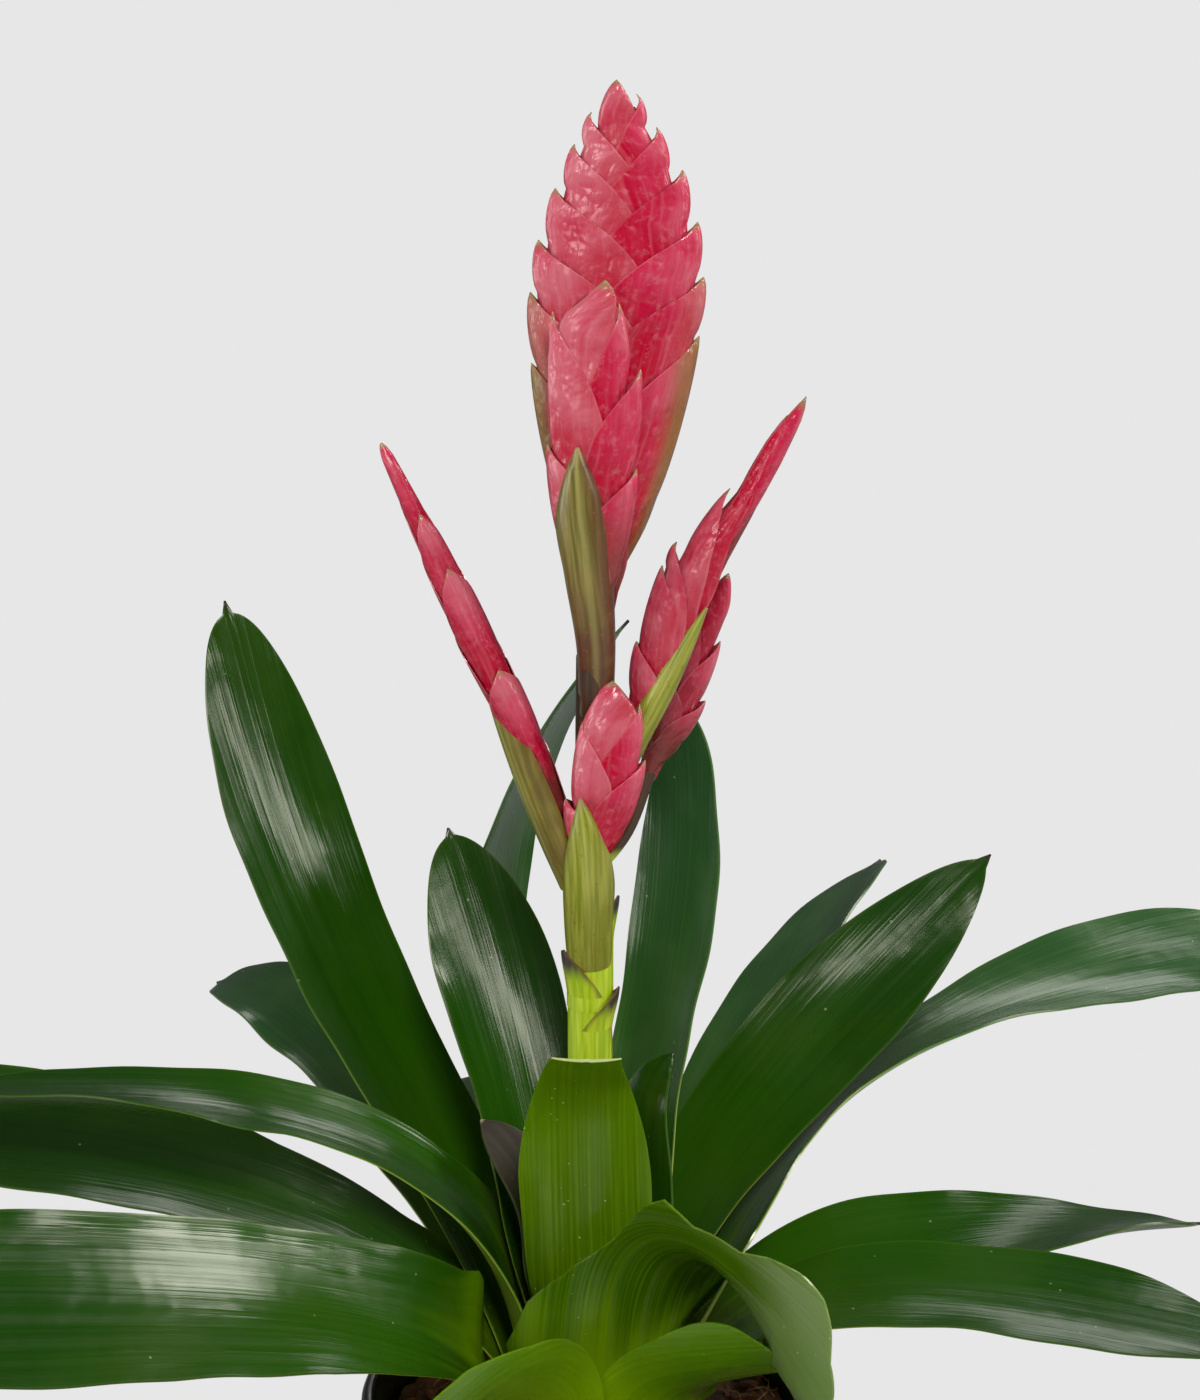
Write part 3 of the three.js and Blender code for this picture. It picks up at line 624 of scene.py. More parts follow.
def half_width(leaf, s):
    """Half the blade's width along the leaf: a neck, a broad blade and a blunt end with a small point."""
    neck = leaf["neck"] + (1 - leaf["neck"]) * smooth(0.08, 0.5, s)
    if leaf["trimmed"]:
        x = np.clip((s - (1 - leaf["taper"])) / leaf["taper"], 0, 1)
        end = 1 - (1 - leaf["trimmed"]) * smooth(0, 1, x)
        return leaf["width"] / 2 * neck * end
    x = np.clip((s / 0.985 - (1 - leaf["taper"])) / leaf["taper"], 0, 1)
    end = np.maximum(1 - x ** leaf["blunt"], 0) ** (1 / leaf["blunt"])
    point = leaf["point"] * np.clip((1 - s) / 0.03, 0, 1) ** 0.8
    return np.maximum(np.maximum(leaf["width"] / 2 * neck * end, np.where(s > 0.9, point, 0)), 0.25)


def leaf_grids(leaf, seed):
    """The upper and lower faces of a leaf, and the fields that its material reads."""
    azimuth = math.radians(leaf["azimuth"])
    outward = np.array([math.cos(azimuth), math.sin(azimuth), 0])
    aside = np.array([-math.sin(azimuth), math.cos(azimuth), 0])
    radius = RING_RADIUS + leaf["rank"]
    height = RING_HEIGHT - RING_DROP * leaf["rank"]

    def place(out, up, side=0):
        return out * outward + side * aside + np.array([0, 0, up])

    flare = leaf["sheath"] * math.sin(SHEATH_FLARE)
    rise = leaf["sheath"] * math.cos(SHEATH_FLARE)
    control = (
        place(radius, height),
        place(radius + flare, height + rise),
        place(*leaf["crest"]),
        place(*leaf["tip"]),
    )
    t = np.linspace(0, 1, 500)
    line, _ = bezier(control, t)
    run = np.concatenate([[0], np.cumsum(np.linalg.norm(np.diff(line, axis=0), axis=1))])
    length = run[-1]
    blade_rows = np.linspace(0, LEAF_END, LEAF_ROWS, endpoint=False)
    s = np.concatenate([blade_rows, np.linspace(LEAF_END, 1, LEAF_END_ROWS)])
    centre, tangent = bezier(control, np.interp(s * length, run, t))
    across = unit(aside - tangent * (tangent @ aside)[:, None])
    roll = np.radians(leaf["roll"] * smooth(0, leaf["turned"], s) + leaf["twist"] * smooth(0.35, 1, s))
    across = across * np.cos(roll)[:, None] + np.cross(tangent, across) * np.sin(roll)[:, None]
    normal = np.cross(tangent, across)
    reach = np.maximum(np.hypot(centre[:, 0], centre[:, 1]), 1)
    sheath = 1 - smooth(0.04, 0.3, s)
    half = half_width(leaf, s)
    half = np.where(sheath > 0, np.minimum(half, leaf["wrap"] * reach + (1 - sheath) * 80), half)
    bend = sheath * leaf["hug"] / (reach + 1) + (1 - sheath) * leaf["cup"] / (leaf["width"] / 2)
    u = np.sin(np.linspace(-math.pi / 2, math.pi / 2, LEAF_COLUMNS))
    sides = np.array(leaf["sides"], float)
    first = np.interp(s, sides[:, 0], sides[:, 1])[:, None]
    second = np.interp(s, sides[:, 0], sides[:, 2])[:, None]
    lateral = u * half[:, None] * np.where(u < 0, first, second)
    angle = lateral * bend[:, None]
    sine = np.sin(angle)[..., None]
    cosine = np.cos(angle)[..., None]
    skin = normal[:, None] * cosine - across[:, None] * sine
    middle = centre[:, None] + across[:, None] * sine / bend[:, None, None]
    middle = middle + normal[:, None] * (1 - cosine) / bend[:, None, None]
    lift = np.array(leaf["lift"], float)
    rightward = np.interp(s, lift[:, 0], lift[:, 1])
    upward = np.interp(s, lift[:, 0], lift[:, 2])
    moved = triples(s.shape, rightward, 0, upward)
    middle = middle + moved[:, None] * (np.maximum(-u, 0) ** 1.3)[:, None]
    phase = seed * 1.7
    ripple = np.sin(s * length / 9 + phase) + 0.6 * np.sin(s * length / 4.3 + 2 * phase)
    sway = (leaf["wave"] * smooth(0.2, 0.5, s) * smooth(1.0, 0.93, s) * ripple)[:, None]
    waves = sway * np.abs(u) ** 3 * np.sign(u + 1e-9)
    midrib = 0.12 * (np.abs(u) < 0.08)
    middle = middle + skin * (waves + midrib)[..., None]
    thick = (LEAF_THICKNESS + (MARGIN_THICKNESS - LEAF_THICKNESS) * u**2)[:, None]
    slim = (0.55 + 0.45 * smooth(1.0, 0.95, s))[:, None, None]
    upper = middle + skin * thick * slim / 2
    lower = middle - skin * thick * slim / 2
    shape = angle.shape
    share = s[:, None]
    margin = np.minimum(half[:, None] * (1 - np.abs(u)), (1 - share) * length + 0.3)
    ruler = triples(shape, share * length + 300 * seed, lateral + 40 * seed, margin)
    place = np.stack([triples(shape, share, u, 1), triples(shape, share, u, 0)])
    return upper, lower, place, np.stack([ruler, ruler])


def make_leaves(materials):
    for seed, (name, given) in enumerate(LEAVES.items()):
        leaf = {**LEAF, **given}
        upper, lower, place, ruler = leaf_grids(leaf, seed)
        points, faces = closed_sheet(upper, lower)
        light = name in LIGHT_LEAVES
        kind = LEAF_KINDS.get(name, "light" if light else "green")
        make_piece(
            name + "_blade", points, faces, materials[kind], {"leaf_place": place, "leaf_ruler": ruler},
            slot="leaf_light" if light else "leaf_green", nodes=[name],
        )


# Flower spikes. Sideways places are measured across the flat face from the straight line base to tip.
# "left" and "right" are the edges: rows of [distance along the spike, sideways place].
# "tips" are [distance along the spike, side, bract length]. "depth" is half the thickness, and "notch" is
# how far the bracts' edges stand out. The foot is brown up to "brown", and the keels are olive where
# bracts end below the second height of "olive", fading out by the first. The last bract is "top" wide each
# way from "run" below its tip, which ends at the sideways place "lean".

SPIKES = {
    "spike_terminal": dict(
        base=(0.4, 0, 304), tip=(6.5, 0, 446.4), across=(1, 0, 0),
        depth=6.2, notch=2.0, olive=(106, 76), brown=44, run=12, top=5.4, lean=-0.1,
        left=((0, -5), (20, -8), (46, -12), (60, -15), (74.6, -17.7), (91.8, -18.6), (104.4, -17.1),
              (116.9, -13.6), (127.5, -9.5), (135.2, -5.8), (140, -2.6), (143, 0.2)),
        right=((0, 5), (20, 9.5), (41, 15), (60, 19.5), (82.9, 22.5), (97.2, 22.8), (110.3, 20.7),
               (122.5, 16.5), (132.3, 9.9), (139.9, 4.8), (143, 1.2)),
        tips=((74.6, -1, 68), (82.9, 1, 78), (91.8, -1, 62), (97.2, 1, 58),
              (104.4, -1, 50), (110.3, 1, 50), (116.9, -1, 46), (122.5, 1, 45), (127.5, -1, 42),
              (132.3, 1, 40), (135.2, -1, 37), (139.9, 1, 35), (143, -1, 36)),
    ),
    "spike_upper_front": dict(
        base=(0.6, -10.6, 309.5), tip=(3.9, -11.4, 401.6), across=(1, 0, 0),
        depth=5, notch=1.6, brown=46, run=16, top=8.2, lean=-0.2456,
        left=((0, -4), (20, -9), (46, -12.2), (63, -13.4), (84.1, -12.4), (89, -6), (92.1, -0.5)),
        right=((0, 4), (20, 7), (46.6, 9.1), (58.8, 9.3), (70.9, 9.1), (86.5, 3.4), (92.1, 0.5)),
        tips=((46.6, 1, 44), (52, -1, 46), (70.9, 1, 56), (84.1, -1, 70), (86.5, 1, 60), (92.1, -1, 66)),
    ),
    "spike_left": dict(
        base=(-5.6, -2.6, 263), tip=(-49.3, -3, 358), across=(0.35, -0.93, 0.16),
        depth=4.6, notch=1.2, brown=22, run=12, top=2.6, lean=0,
        left=((0, -3), (15, -6), (40, -6.6), (65, -5.4), (90, -3.2), (108, 0)),
        right=((0, 3), (15, 6), (40, 6.6), (65, 5.4), (90, 3.2), (108, 0)),
        tips=((30, -1, 30), (45, 1, 42), (60, -1, 44), (73, 1, 46), (81, -1, 44), (88, 1, 42),
              (96, -1, 38), (107, 1, 38)),
    ),
    "spike_right": dict(
        base=(10.4, -4, 284), tip=(51.7, -4, 371.5), across=(0.905, 0, -0.425),
        depth=5, notch=1.4, brown=12, run=17, top=3.0, lean=0.0648,
        left=((0, -4), (24, -10.5), (44.8, -13.2), (51.6, -12.6), (69.1, -6.7), (82.8, -4.4),
              (91.2, -2.1), (97, 0)),
        right=((0, 4), (18, 6.4), (42, 4.6), (54, 4), (65, 3.6), (82, 2.2), (97, 0.4)),
        tips=((24.8, -1, 24), (44.8, -1, 38), (51.6, -1, 44), (69.1, -1, 60), (91.2, -1, 64), (97.2, 1, 92)),
    ),
    "spike_right_rear": dict(
        base=(14, 9.6, 271), tip=(34.2, 10, 323.9), across=(0.93, 0.1, -0.36),
        depth=4.2, notch=1.2, brown=24, run=10, top=3.4, lean=0,
        left=((0, -4), (16, -7), (32, -6.6), (46, -3.6), (57, 0)),
        right=((0, 4), (16, 6.4), (24, 6.8), (40, 4.6), (50, 2.6), (57, 0)),
        tips=((24.2, 1, 24), (30, -1, 26), (40, 1, 32), (47, -1, 34), (57, 1, 36)),
    ),
    "spike_front": dict(
        base=(0.6, -9.4, 249), tip=(5.6, -10, 302.4), across=(1, 0, 0),
        depth=5, notch=1.5, brown=10, run=12, top=7.4, lean=-0.0717,
        left=((0, -4.5), (10, -7.2), (22.5, -8.8), (32.5, -9.3), (42.4, -6.5), (50, -2.4), (54, 0)),
        right=((0, 4.5), (7.8, 5.6), (20, 8.8), (30, 10.6), (38, 9.4), (48.3, 7.2), (54, 0.4)),
        tips=((22.5, -1, 22), (34.3, 1, 34), (42.4, -1, 38), (48.3, 1, 42), (53.8, -1, 46)),
    ),
}
BRACT_ROWS = 30
BRACT_COLUMNS = 13
BRACT_SWEEP = 1.7
BRACT_SHELL = 0.22


def spike_frame(spike):
    base = np.array(spike["base"], float)
    tip = np.array(spike["tip"], float)
    up = unit(tip - base)
    across = np.array(spike["across"], float)
    across = unit(across - up * (up @ across))
    return base, up, across, np.cross(across, up), np.linalg.norm(tip - base)


def edges(spike, s):
    left = np.array(spike["left"], float)
    right = np.array(spike["right"], float)
    return np.interp(s, left[:, 0], left[:, 1]), np.interp(s, right[:, 0], right[:, 1])


def half_depth(spike, s):
    """Half the spike's thickness along it: slim at the foot and the tip."""
    length = max(spike["right"][-1][0], spike["left"][-1][0])
    x = np.clip(s / length, 0, 1)
    return spike["depth"] * (0.62 + 0.38 * smooth(0, 0.3, x)) * (1 - 0.8 * smooth(0.45, 1.05, x) ** 1.2)


def free_edge(spike, tip_at, side, above, s, own):
    """A bract's outer edge: it rises from inside the bract below, swells, and ends in a free tip."""
    tips = np.array([tip_at, tip_at - above])
    at_tip, below = [edge * side for edge in edges(spike, tips)[1 if side > 0 else 0]]
    spread = max(below - at_tip, 0)
    inset = 0.6 * spike["notch"] + 0.35 * spread
    down = tip_at - s
    q = np.clip(down / above, 0, 1)
    swell = 0.65 * spike["notch"] * (4 * q * (1 - q)) ** 0.7
    free = at_tip + (below - inset - at_tip) * q + swell
    hidden = own * side - inset - 0.05 * (down - above)
    return side * np.where(down < above, free, hidden)


def add_bract(gather, spike, tip_at, side, length, seed, above, top):
    """One clasping bract: a sheet folded at the spike's edge, whose margins cross its two faces."""
    base, up, across, front, _ = spike_frame(spike)
    t = np.linspace(0, 1, BRACT_ROWS) ** 0.9
    s = np.maximum(tip_at - length * (1 - t), 1.0 + 2 * t)
    left, right = edges(spike, s)
    axis = (left + right) / 2
    if top:
        half = spike["top"] * (1 - (1 - np.clip((tip_at - s) / spike["run"], 0, 1)) ** 1.6) ** 0.8 + 0.1
        axis = axis + (spike["lean"] - axis) * smooth(tip_at - 12, tip_at, s)
        ending = s > tip_at - 14
        left = np.where(ending, axis - half, np.maximum(left, axis - half))
        right = np.where(ending, axis + half, np.minimum(right, axis + half))
    own, other = (right, left) if side > 0 else (left, right)
    keel = own if top else free_edge(spike, tip_at, side, above, s, own)
    keel = axis + (keel - axis) * (0.35 + 0.65 * smooth(0, 0.42, t))
    narrow = 0.45 + 0.52 * smooth(0, 0.35, t)
    wave = 0.05 * np.sin(seed * 2.1) * np.sin(math.pi * t)
    round_out = 0.2 * np.sin(math.pi * np.clip((1 - t - 0.06) / 0.44, 0, 1))
    reach = np.full_like(t, -0.9) if top else 1 - 1.88 * (1 - t**BRACT_SWEEP) - round_out + wave
    close = np.arccos(np.clip(reach, -0.96, 1.0))[:, None]
    deep = half_depth(spike, s) * (0.7 + 0.3 * smooth(0, 0.9, t)) + 0.3
    deep = deep * (0.25 + 0.75 * np.sqrt(np.clip((1 - t) / 0.1, 0, 1)))
    turn = np.linspace(-1, 1, 2 * BRACT_COLUMNS - 1)
    theta = close * turn

    def shell(shrink):
        near = np.sign(side) * np.maximum(np.abs(keel - axis) - shrink, 0.1)
        far = -np.sign(side) * np.maximum(np.abs(other - axis) * narrow - shrink, 0.1)
        cosine = np.cos(theta)
        sideways = axis[:, None] + np.where(cosine > 0, near[:, None] * cosine, -far[:, None] * cosine)
        depth = np.maximum(deep - shrink, 0.05)[:, None] * np.sin(theta)
        return base + s[:, None, None] * up + sideways[..., None] * across + depth[..., None] * front

    shape = theta.shape
    size = (np.abs(keel - axis) + deep)[:, None] / 1.6
    distance = (1 - np.abs(turn)) * close * size
    ageing = smooth(*spike["olive"], tip_at) if "olive" in spike else 0
    gather.add_sheet(
        shell(0.0), shell(BRACT_SHELL),
        bract_place=triples(shape, t[:, None], distance, np.cos(theta * 0.999)),
        # The second number is 1 on the left-hand bracts, which carry a painted sheen.
        bract_tone=triples(shape, s[:, None] / spike["brown"], 0.5 - 0.5 * side, ageing),
        bract_ruler=triples(shape, s[:, None], theta * size, seed * 7.3),
    )


def add_core(gather, spike):
    """The stem inside a spike, which closes the gaps between its bracts."""
    base, up, across, front, length = spike_frame(spike)
    s = np.linspace(0.5, length * 0.96, 24)
    left, right = edges(spike, s)
    angles = np.linspace(0, 2 * math.pi, 24, endpoint=False)
    middle = (left + right) / 2
    wide = (right - left) / 2 * 0.6
    thick = half_depth(spike, s) * 0.5
    points = (
        base + s[:, None, None] * up
        + (middle[:, None] + wide[:, None] * np.cos(angles))[..., None] * across
        + (thick[:, None] * np.sin(angles))[..., None] * front
    )
    shape = points.shape[:2]
    gather.add(
        points, ring_faces(*shape),
        bract_place=triples(shape, 0.2, 3.0, 0.0),
        bract_tone=triples(shape, 0.5, 0.0, 0.0),
        bract_ruler=triples(shape, s[:, None], angles * 4, 0.0),
    )


def make_spikes(materials):
    for name, spike in SPIKES.items():
        gather = Gather()
        add_core(gather, spike)
        last = {1: 0.0, -1: 0.0}
        for seed, (tip_at, side, length) in enumerate(spike["tips"]):
            above = tip_at - last[side] if last[side] else length * 0.5
            last[side] = tip_at
            top = seed == len(spike["tips"]) - 1
            add_bract(gather, spike, tip_at, side, length, seed + len(name), above, top)
        gather.make(name + "_bracts", materials[name], "bract_pink", nodes=[name])


# Green bracts, each in front of or under the spike it carries.
# Rows are (x, y, z, half width, bulge) at the middle of the bract's open side.

GREEN_BRACTS = {
    "green_bract_front": dict(
        across=(1, 0, 0), facing=(0, -1, 0.1), brown=0.15, seed=1,
        rows=((-0.2, -1.5, 226, 5.6, 4.6), (-0.4, -4.5, 238, 6.1, 6.2), (-0.3, -9, 252, 6.3, 6.3),
              (-0.9, -12.5, 263, 4.4, 4.2), (-2.4, -14.6, 274, 0.4, 1)),
    ),
    "green_bract_upper": dict(
        across=(1, 0, 0), facing=(0, -1, 0.06), brown=1.0, seed=2,
        rows=((1.6, -4, 298, 4.4, 5), (1.5, -8, 311, 4.8, 6.2), (-0.3, -10.5, 330, 5.9, 6.8),
              (-1.8, -12.6, 345, 6.4, 5.6), (-2.6, -15, 355, 3.6, 3), (-2.9, -16, 362.3, 0.4, 1)),
    ),
    "green_bract_right": dict(
        across=(0.86, -0.1, -0.43), facing=(0.42, -0.75, -0.35), brown=0.1, seed=3,
        rows=((5, -3.6, 272, 3.4, 3.2), (10.5, -5.6, 285, 3.4, 3.6), (18.5, -6.6, 301, 3.1, 3.2),
              (24, -7.2, 312, 2, 2), (28.4, -8, 320.5, 0.4, 0.8)),
    ),
    "green_bract_left": dict(
        across=(0.5, -0.86, 0.1), facing=(-0.8, -0.3, -0.45), brown=0.6, seed=4,
        rows=((-3.4, -1.6, 247, 5.4, 4), (-7.6, -2.6, 259, 6.4, 4.6), (-14, -3, 276, 6.4, 4.6),
              (-20.4, -3.4, 291, 4, 3.2), (-26.4, -4, 303.4, 0.4, 0.8)),
    ),
}


BOAT_ROWS = 40
BOAT_COLUMNS = 25
BOAT_SHELL = 0.55


def add_boat(gather, rows, across, facing, brown, seed):
    """A bract open at the back: half-oval sections along a curve."""
    data = curve_through(rows, BOAT_ROWS)
    centre = data[:, :3]
    width = np.maximum(data[:, 3], 0.25)
    bulge = np.maximum(data[:, 4], 0.25)
    forward = unit(np.gradient(centre, axis=0))
    side = unit(across - forward * (forward @ across)[:, None])
    out = facing - forward * (forward @ facing)[:, None]
    out = unit(out - side * np.sum(out * side, axis=1)[:, None])
    phi = np.linspace(-math.pi / 2, math.pi / 2, BOAT_COLUMNS)

    def grid(shrink):
        sideways = np.maximum(width - shrink, 0.1)[:, None] * np.sin(phi)
        raised = np.maximum(bulge - shrink, 0.1)[:, None] * np.cos(phi)
        return centre[:, None] + sideways[..., None] * side[:, None] + raised[..., None] * out[:, None]

    outer = grid(0.0)
    shape = outer.shape[:2]
    share = np.linspace(0, 1, BOAT_ROWS)[:, None]
    length = np.linalg.norm(outer[-1, 0] - outer[0, 0])
    gather.add_sheet(
        outer, grid(BOAT_SHELL),
        bract_place=triples(shape, share, np.sin(phi), brown),
        bract_ruler=triples(shape, share * length, np.sin(phi) * width[:, None], seed * 9.1),
    )


def make_green_bracts(material):
    for name, bract in GREEN_BRACTS.items():
        gather = Gather()
        add_boat(gather, **bract)
        gather.make(name, material, "stem_green")


# Sheath bracts round the stem. "foot" is the height of the foot, "radius" its radius, and "tip" a point.

SHEATHS = (
    dict(foot=196, tip=(-6.8, -3, 229.8), radius=5.7, seed=5),
    dict(foot=190, tip=(7.4, -1.5, 219.4), radius=5.5, seed=6),
    dict(foot=214, tip=(7.2, -2, 244), radius=5.9, seed=7),
)
SHEATH_ROWS = 34
SHEATH_COLUMNS = 29
SHEATH_SHELL = 0.4
SHEATH_SPREAD = math.radians(168)


def add_sheath(gather, foot, tip, radius, seed):
    x, y, top = tip
    t = np.linspace(0, 1, SHEATH_ROWS)
    u = np.linspace(-1, 1, SHEATH_COLUMNS)
    heights = (foot + (top - foot) * t)[:, None]
    spread = SHEATH_SPREAD * (1 - t**1.5) ** 0.75 + 0.02
    radii = (radius + (math.hypot(x, y) - radius) * smooth(0.55, 1, t))[:, None]
    angle = math.atan2(y, x) + spread[:, None] * u
    shape = angle.shape

    def grid(shrink):
        r = radii - shrink
        return triples(shape, r * np.cos(angle), r * np.sin(angle), heights)

    gather.add_sheet(
        grid(0.0), grid(SHEATH_SHELL),
        bract_place=triples(shape, t[:, None], u, 1),
        bract_ruler=triples(shape, heights, angle * 5, seed * 9.1),
    )


def make_sheaths(material):
    gather = Gather()
    for sheath in SHEATHS:
        add_sheath(gather, **sheath)
    gather.make("stem_sheaths", material, "stem_green")


# Flower stem, branch stalks and the crown that the leaves stand on. Rows are (x, y, z, radius),
# and the crown's are (radius, z).

STEM_ROWS = (
    (0, 0, 110, 7.0), (0, 0, 121, 5.5), (0, 0, 160, 5.0), (0, 0, 190, 4.8), (0, 0, 211, 4.9),
    (0, 0, 213, 5.3), (0, 0, 215, 4.9), (0.1, 0, 232, 4.9), (0.1, 0, 236, 5.3), (0.2, 0, 241, 4.6),
    (0.2, 0, 262, 4.2), (0.3, 0, 276, 4.0), (0.3, 0, 290, 3.9), (0.4, 0, 306, 3.8),
)
BRANCHES = (
    ((0, 0, 236, 3.0), (0.3, -5.4, 241, 2.9), (0.6, -9.4, 251, 2.6)),
    ((0, 0, 246, 3.0), (-2.8, -1.6, 253, 2.9), (-5.8, -2.6, 264.5, 2.6)),
    ((0, 0, 262, 3.0), (5.4, -2.4, 271, 2.8), (10.8, -4, 286, 2.6)),
    ((0, 0, 250, 2.8), (7.8, 5.6, 258, 2.7), (14.4, 9.7, 273, 2.4)),
    ((0, 0, 290, 2.8), (0.4, -7, 297, 2.7), (0.6, -10.7, 311, 2.4)),
)
CROWN_PROFILE = ((12, 62.4), (12, 86), (28, 88), (30.5, 88.2), (7.8, 114.3), (6, 116))
DARK_FROM = 246
DARK_ABOVE = 262


def add_stalk(gather, rows, sides, girth, seed):
    """A round stalk. Its material's ruler runs up it and, times the girth, round it."""
    points, faces, angles = tube(rows[:, :3], rows[:, 3], sides)
    heights = points[:, 2]
    gather.add(
        points, faces,
        stem_place=triples(heights.shape, smooth(DARK_FROM, DARK_ABOVE, heights), 0, 0),
        stem_ruler=triples(heights.shape, heights, angles * girth, seed),
    )


def make_stem(material):
    gather = Gather()
    add_stalk(gather, curve_through(STEM_ROWS, 90), 40, 5, 9.1)
    for k, rows in enumerate(BRANCHES):
        add_stalk(gather, curve_through(rows, 14), 20, 5, (k + 2) * 9.1)
    crown = np.array([(0, 0, z, r) for r, z in CROWN_PROFILE], float)
    add_stalk(gather, crown, 48, 12, 77.0)
    gather.make("flower_stem", material, "stem_green", nodes=["stalk"], crease=40)


# Pot and soil

POT_PROFILE = (
    (0.01, 2.4), (30, 2.4), (40.8, 2.4), (41.5, 2.9), (41.9, 4.0), (54.8, 96.6), (55.4, 99.0),
    (56.3, 101.8), (56.7, 103.6), (56.9, 105.2), (57.4, 105.85), (58.1, 106.0), (59.0, 105.8),
    (59.6, 105.2), (59.95, 104.2), (60.0, 103.0), (59.6, 99.4), (59.2, 97.7), (58.8, 97.2),
    (58.2, 97.0), (56.75, 97.0), (56.5, 95.8), (56.45, 94.6), (56.9, 94.3), (56.85, 93.5),
    (56.2, 93.2), (50.2, 49.5), (44.0, 4.4), (43.9, 2.6), (43.6, 1.1), (43.1, 0.35),
    (42.5, 0.0), (40.2, 0.0), (39.6, 0.5), (38.9, 0.9), (30, 0.9), (0.01, 0.9),
)
DRAIN_CIRCLE = 30
DRAIN_RADIUS = 4
DRAIN_CUT = 12


def lathe(profile, sides):
    """A turned body from a profile of (radius, height) that starts and ends at the axis."""
    profile = np.array(profile, float)
    radii = profile[:, :1]
    angles = np.linspace(0, 2 * math.pi, sides, endpoint=False)
    shape = (len(profile), sides)
    points = triples(shape, radii * np.cos(angles), radii * np.sin(angles), profile[:, 1:])
    return points, ring_faces(*shape)


def cut_holes(piece):
    """Drain holes through the pot's floor."""
    radius = DRAIN_RADIUS * MM
    for i in range(4):
        angle = math.pi / 2 * (i + 0.5)
        work = bmesh.new()
        size = dict(radius1=radius, radius2=radius, depth=DRAIN_CUT * MM)
        bmesh.ops.create_cone(work, cap_ends=True, segments=32, **size)
        mesh = bpy.data.meshes.new("drain_cutter")
        work.to_mesh(mesh)
        work.free()
        cutter = add_object("drain_cutter", mesh)
        cutter.location = (DRAIN_CIRCLE * MM * math.cos(angle), DRAIN_CIRCLE * MM * math.sin(angle), 0)
        bpy.context.view_layer.update()
        modifier = piece.modifiers.new("drain", "BOOLEAN")
        modifier.operation = "DIFFERENCE"
        modifier.object = cutter
        graph = bpy.context.evaluated_depsgraph_get()
        made = bpy.data.meshes.new_from_object(piece.evaluated_get(graph))
        piece.modifiers.remove(modifier)
        piece.data = made
        bpy.data.objects.remove(cutter)


def make_pot(material):
    points, faces = lathe(POT_PROFILE, 144)
    piece = make_piece("nursery_pot", points, faces, material, {}, "pot_plastic", nodes=["pot"], crease=30)
    cut_holes(piece)


def soil_height(x, y):
    """The lumpy top of the bark."""
    r = np.hypot(x, y)
    lumps = np.sin(x / 3.1 + 1.2 * np.sin(y / 4.3)) * np.cos(y / 2.7 + 0.9 * np.sin(x / 3.7))
    small = np.sin(x / 1.3 + y / 2.1) * np.sin(y / 1.1 - x / 3.3)
    return 95.4 + 1.1 * lumps + 0.5 * small + 1.4 * smooth(50, 34, r)


def make_soil(material):
    foot = [(0.01, 3), (40, 3), (53.4, 92)]
    top_radii = np.linspace(53.2, 0.01, 60)
    points, faces = lathe([*foot, *((radius, 95) for radius in top_radii)], 160)
    top = points[len(foot):]
    top[..., 2] = soil_height(top[..., 0], top[..., 1])
    make_piece("potting_mix_bed", points, faces, material, {}, "potting_mix", nodes=["soil"], crease=80)


CHIP_COUNT = 150
PALE_CHIPS = ((-48.5, -22.5, 4.6), (39.5, 25, 3.8))
FIBRE_COUNT = 110
FIBRE_STEPS = 12
FIBRE_LIMIT = 52.6


def scattered(inner, outer):
    """A place on the soil between two radii."""
    r = math.sqrt(CHANCE.uniform(inner**2, outer**2))
    a = CHANCE.uniform(0, 2 * math.pi)
    return r * math.cos(a), r * math.sin(a)


def make_bark(material, pale, straw):
    """Bark chips, two pale chips and coir fibres lying on the soil. Chips are (x, y, size)."""
    chips = Gather()
    places = [(*scattered(30, 51.5), CHANCE.uniform(2.2, 6.2)) for _ in range(CHIP_COUNT)]
    for place in places:
        chips.add(*chip(*place))
    chips.make("bark_chips", material, "potting_mix", crease=35)
    light = Gather()
    for place in PALE_CHIPS:
        light.add(*chip(*place))
    light.make("pale_chips", pale, "potting_mix", crease=35)
    fibres = Gather()
    for _ in range(FIBRE_COUNT):
        fibres.add(*fibre())
    fibres.make("coir_fibres", straw, "potting_mix")


def fibre():
    """A curved fibre, humped over the soil and kept inside the pot."""
    x, y = scattered(27, 50)
    heading = CHANCE.uniform(0, 2 * math.pi)
    stride = CHANCE.uniform(8, 22) / FIBRE_STEPS
    turn = CHANCE.uniform(-0.12, 0.12)
    path = []
    for k in range(FIBRE_STEPS):
        x += stride * math.cos(heading)
        y += stride * math.sin(heading)
        heading += turn
        reach = math.hypot(x, y)
        if reach > FIBRE_LIMIT:
            x, y = x * FIBRE_LIMIT / reach, y * FIBRE_LIMIT / reach
        hump = 1.6 * math.sin(math.pi * k / (FIBRE_STEPS - 1))
        path.append((x, y, float(soil_height(x, y)) + 0.5 + hump))
    radii = CHANCE.uniform(0.14, 0.3) * np.linspace(1, 0.5, FIBRE_STEPS)
    points, faces, _ = tube(path, radii, 6)
    return points, faces


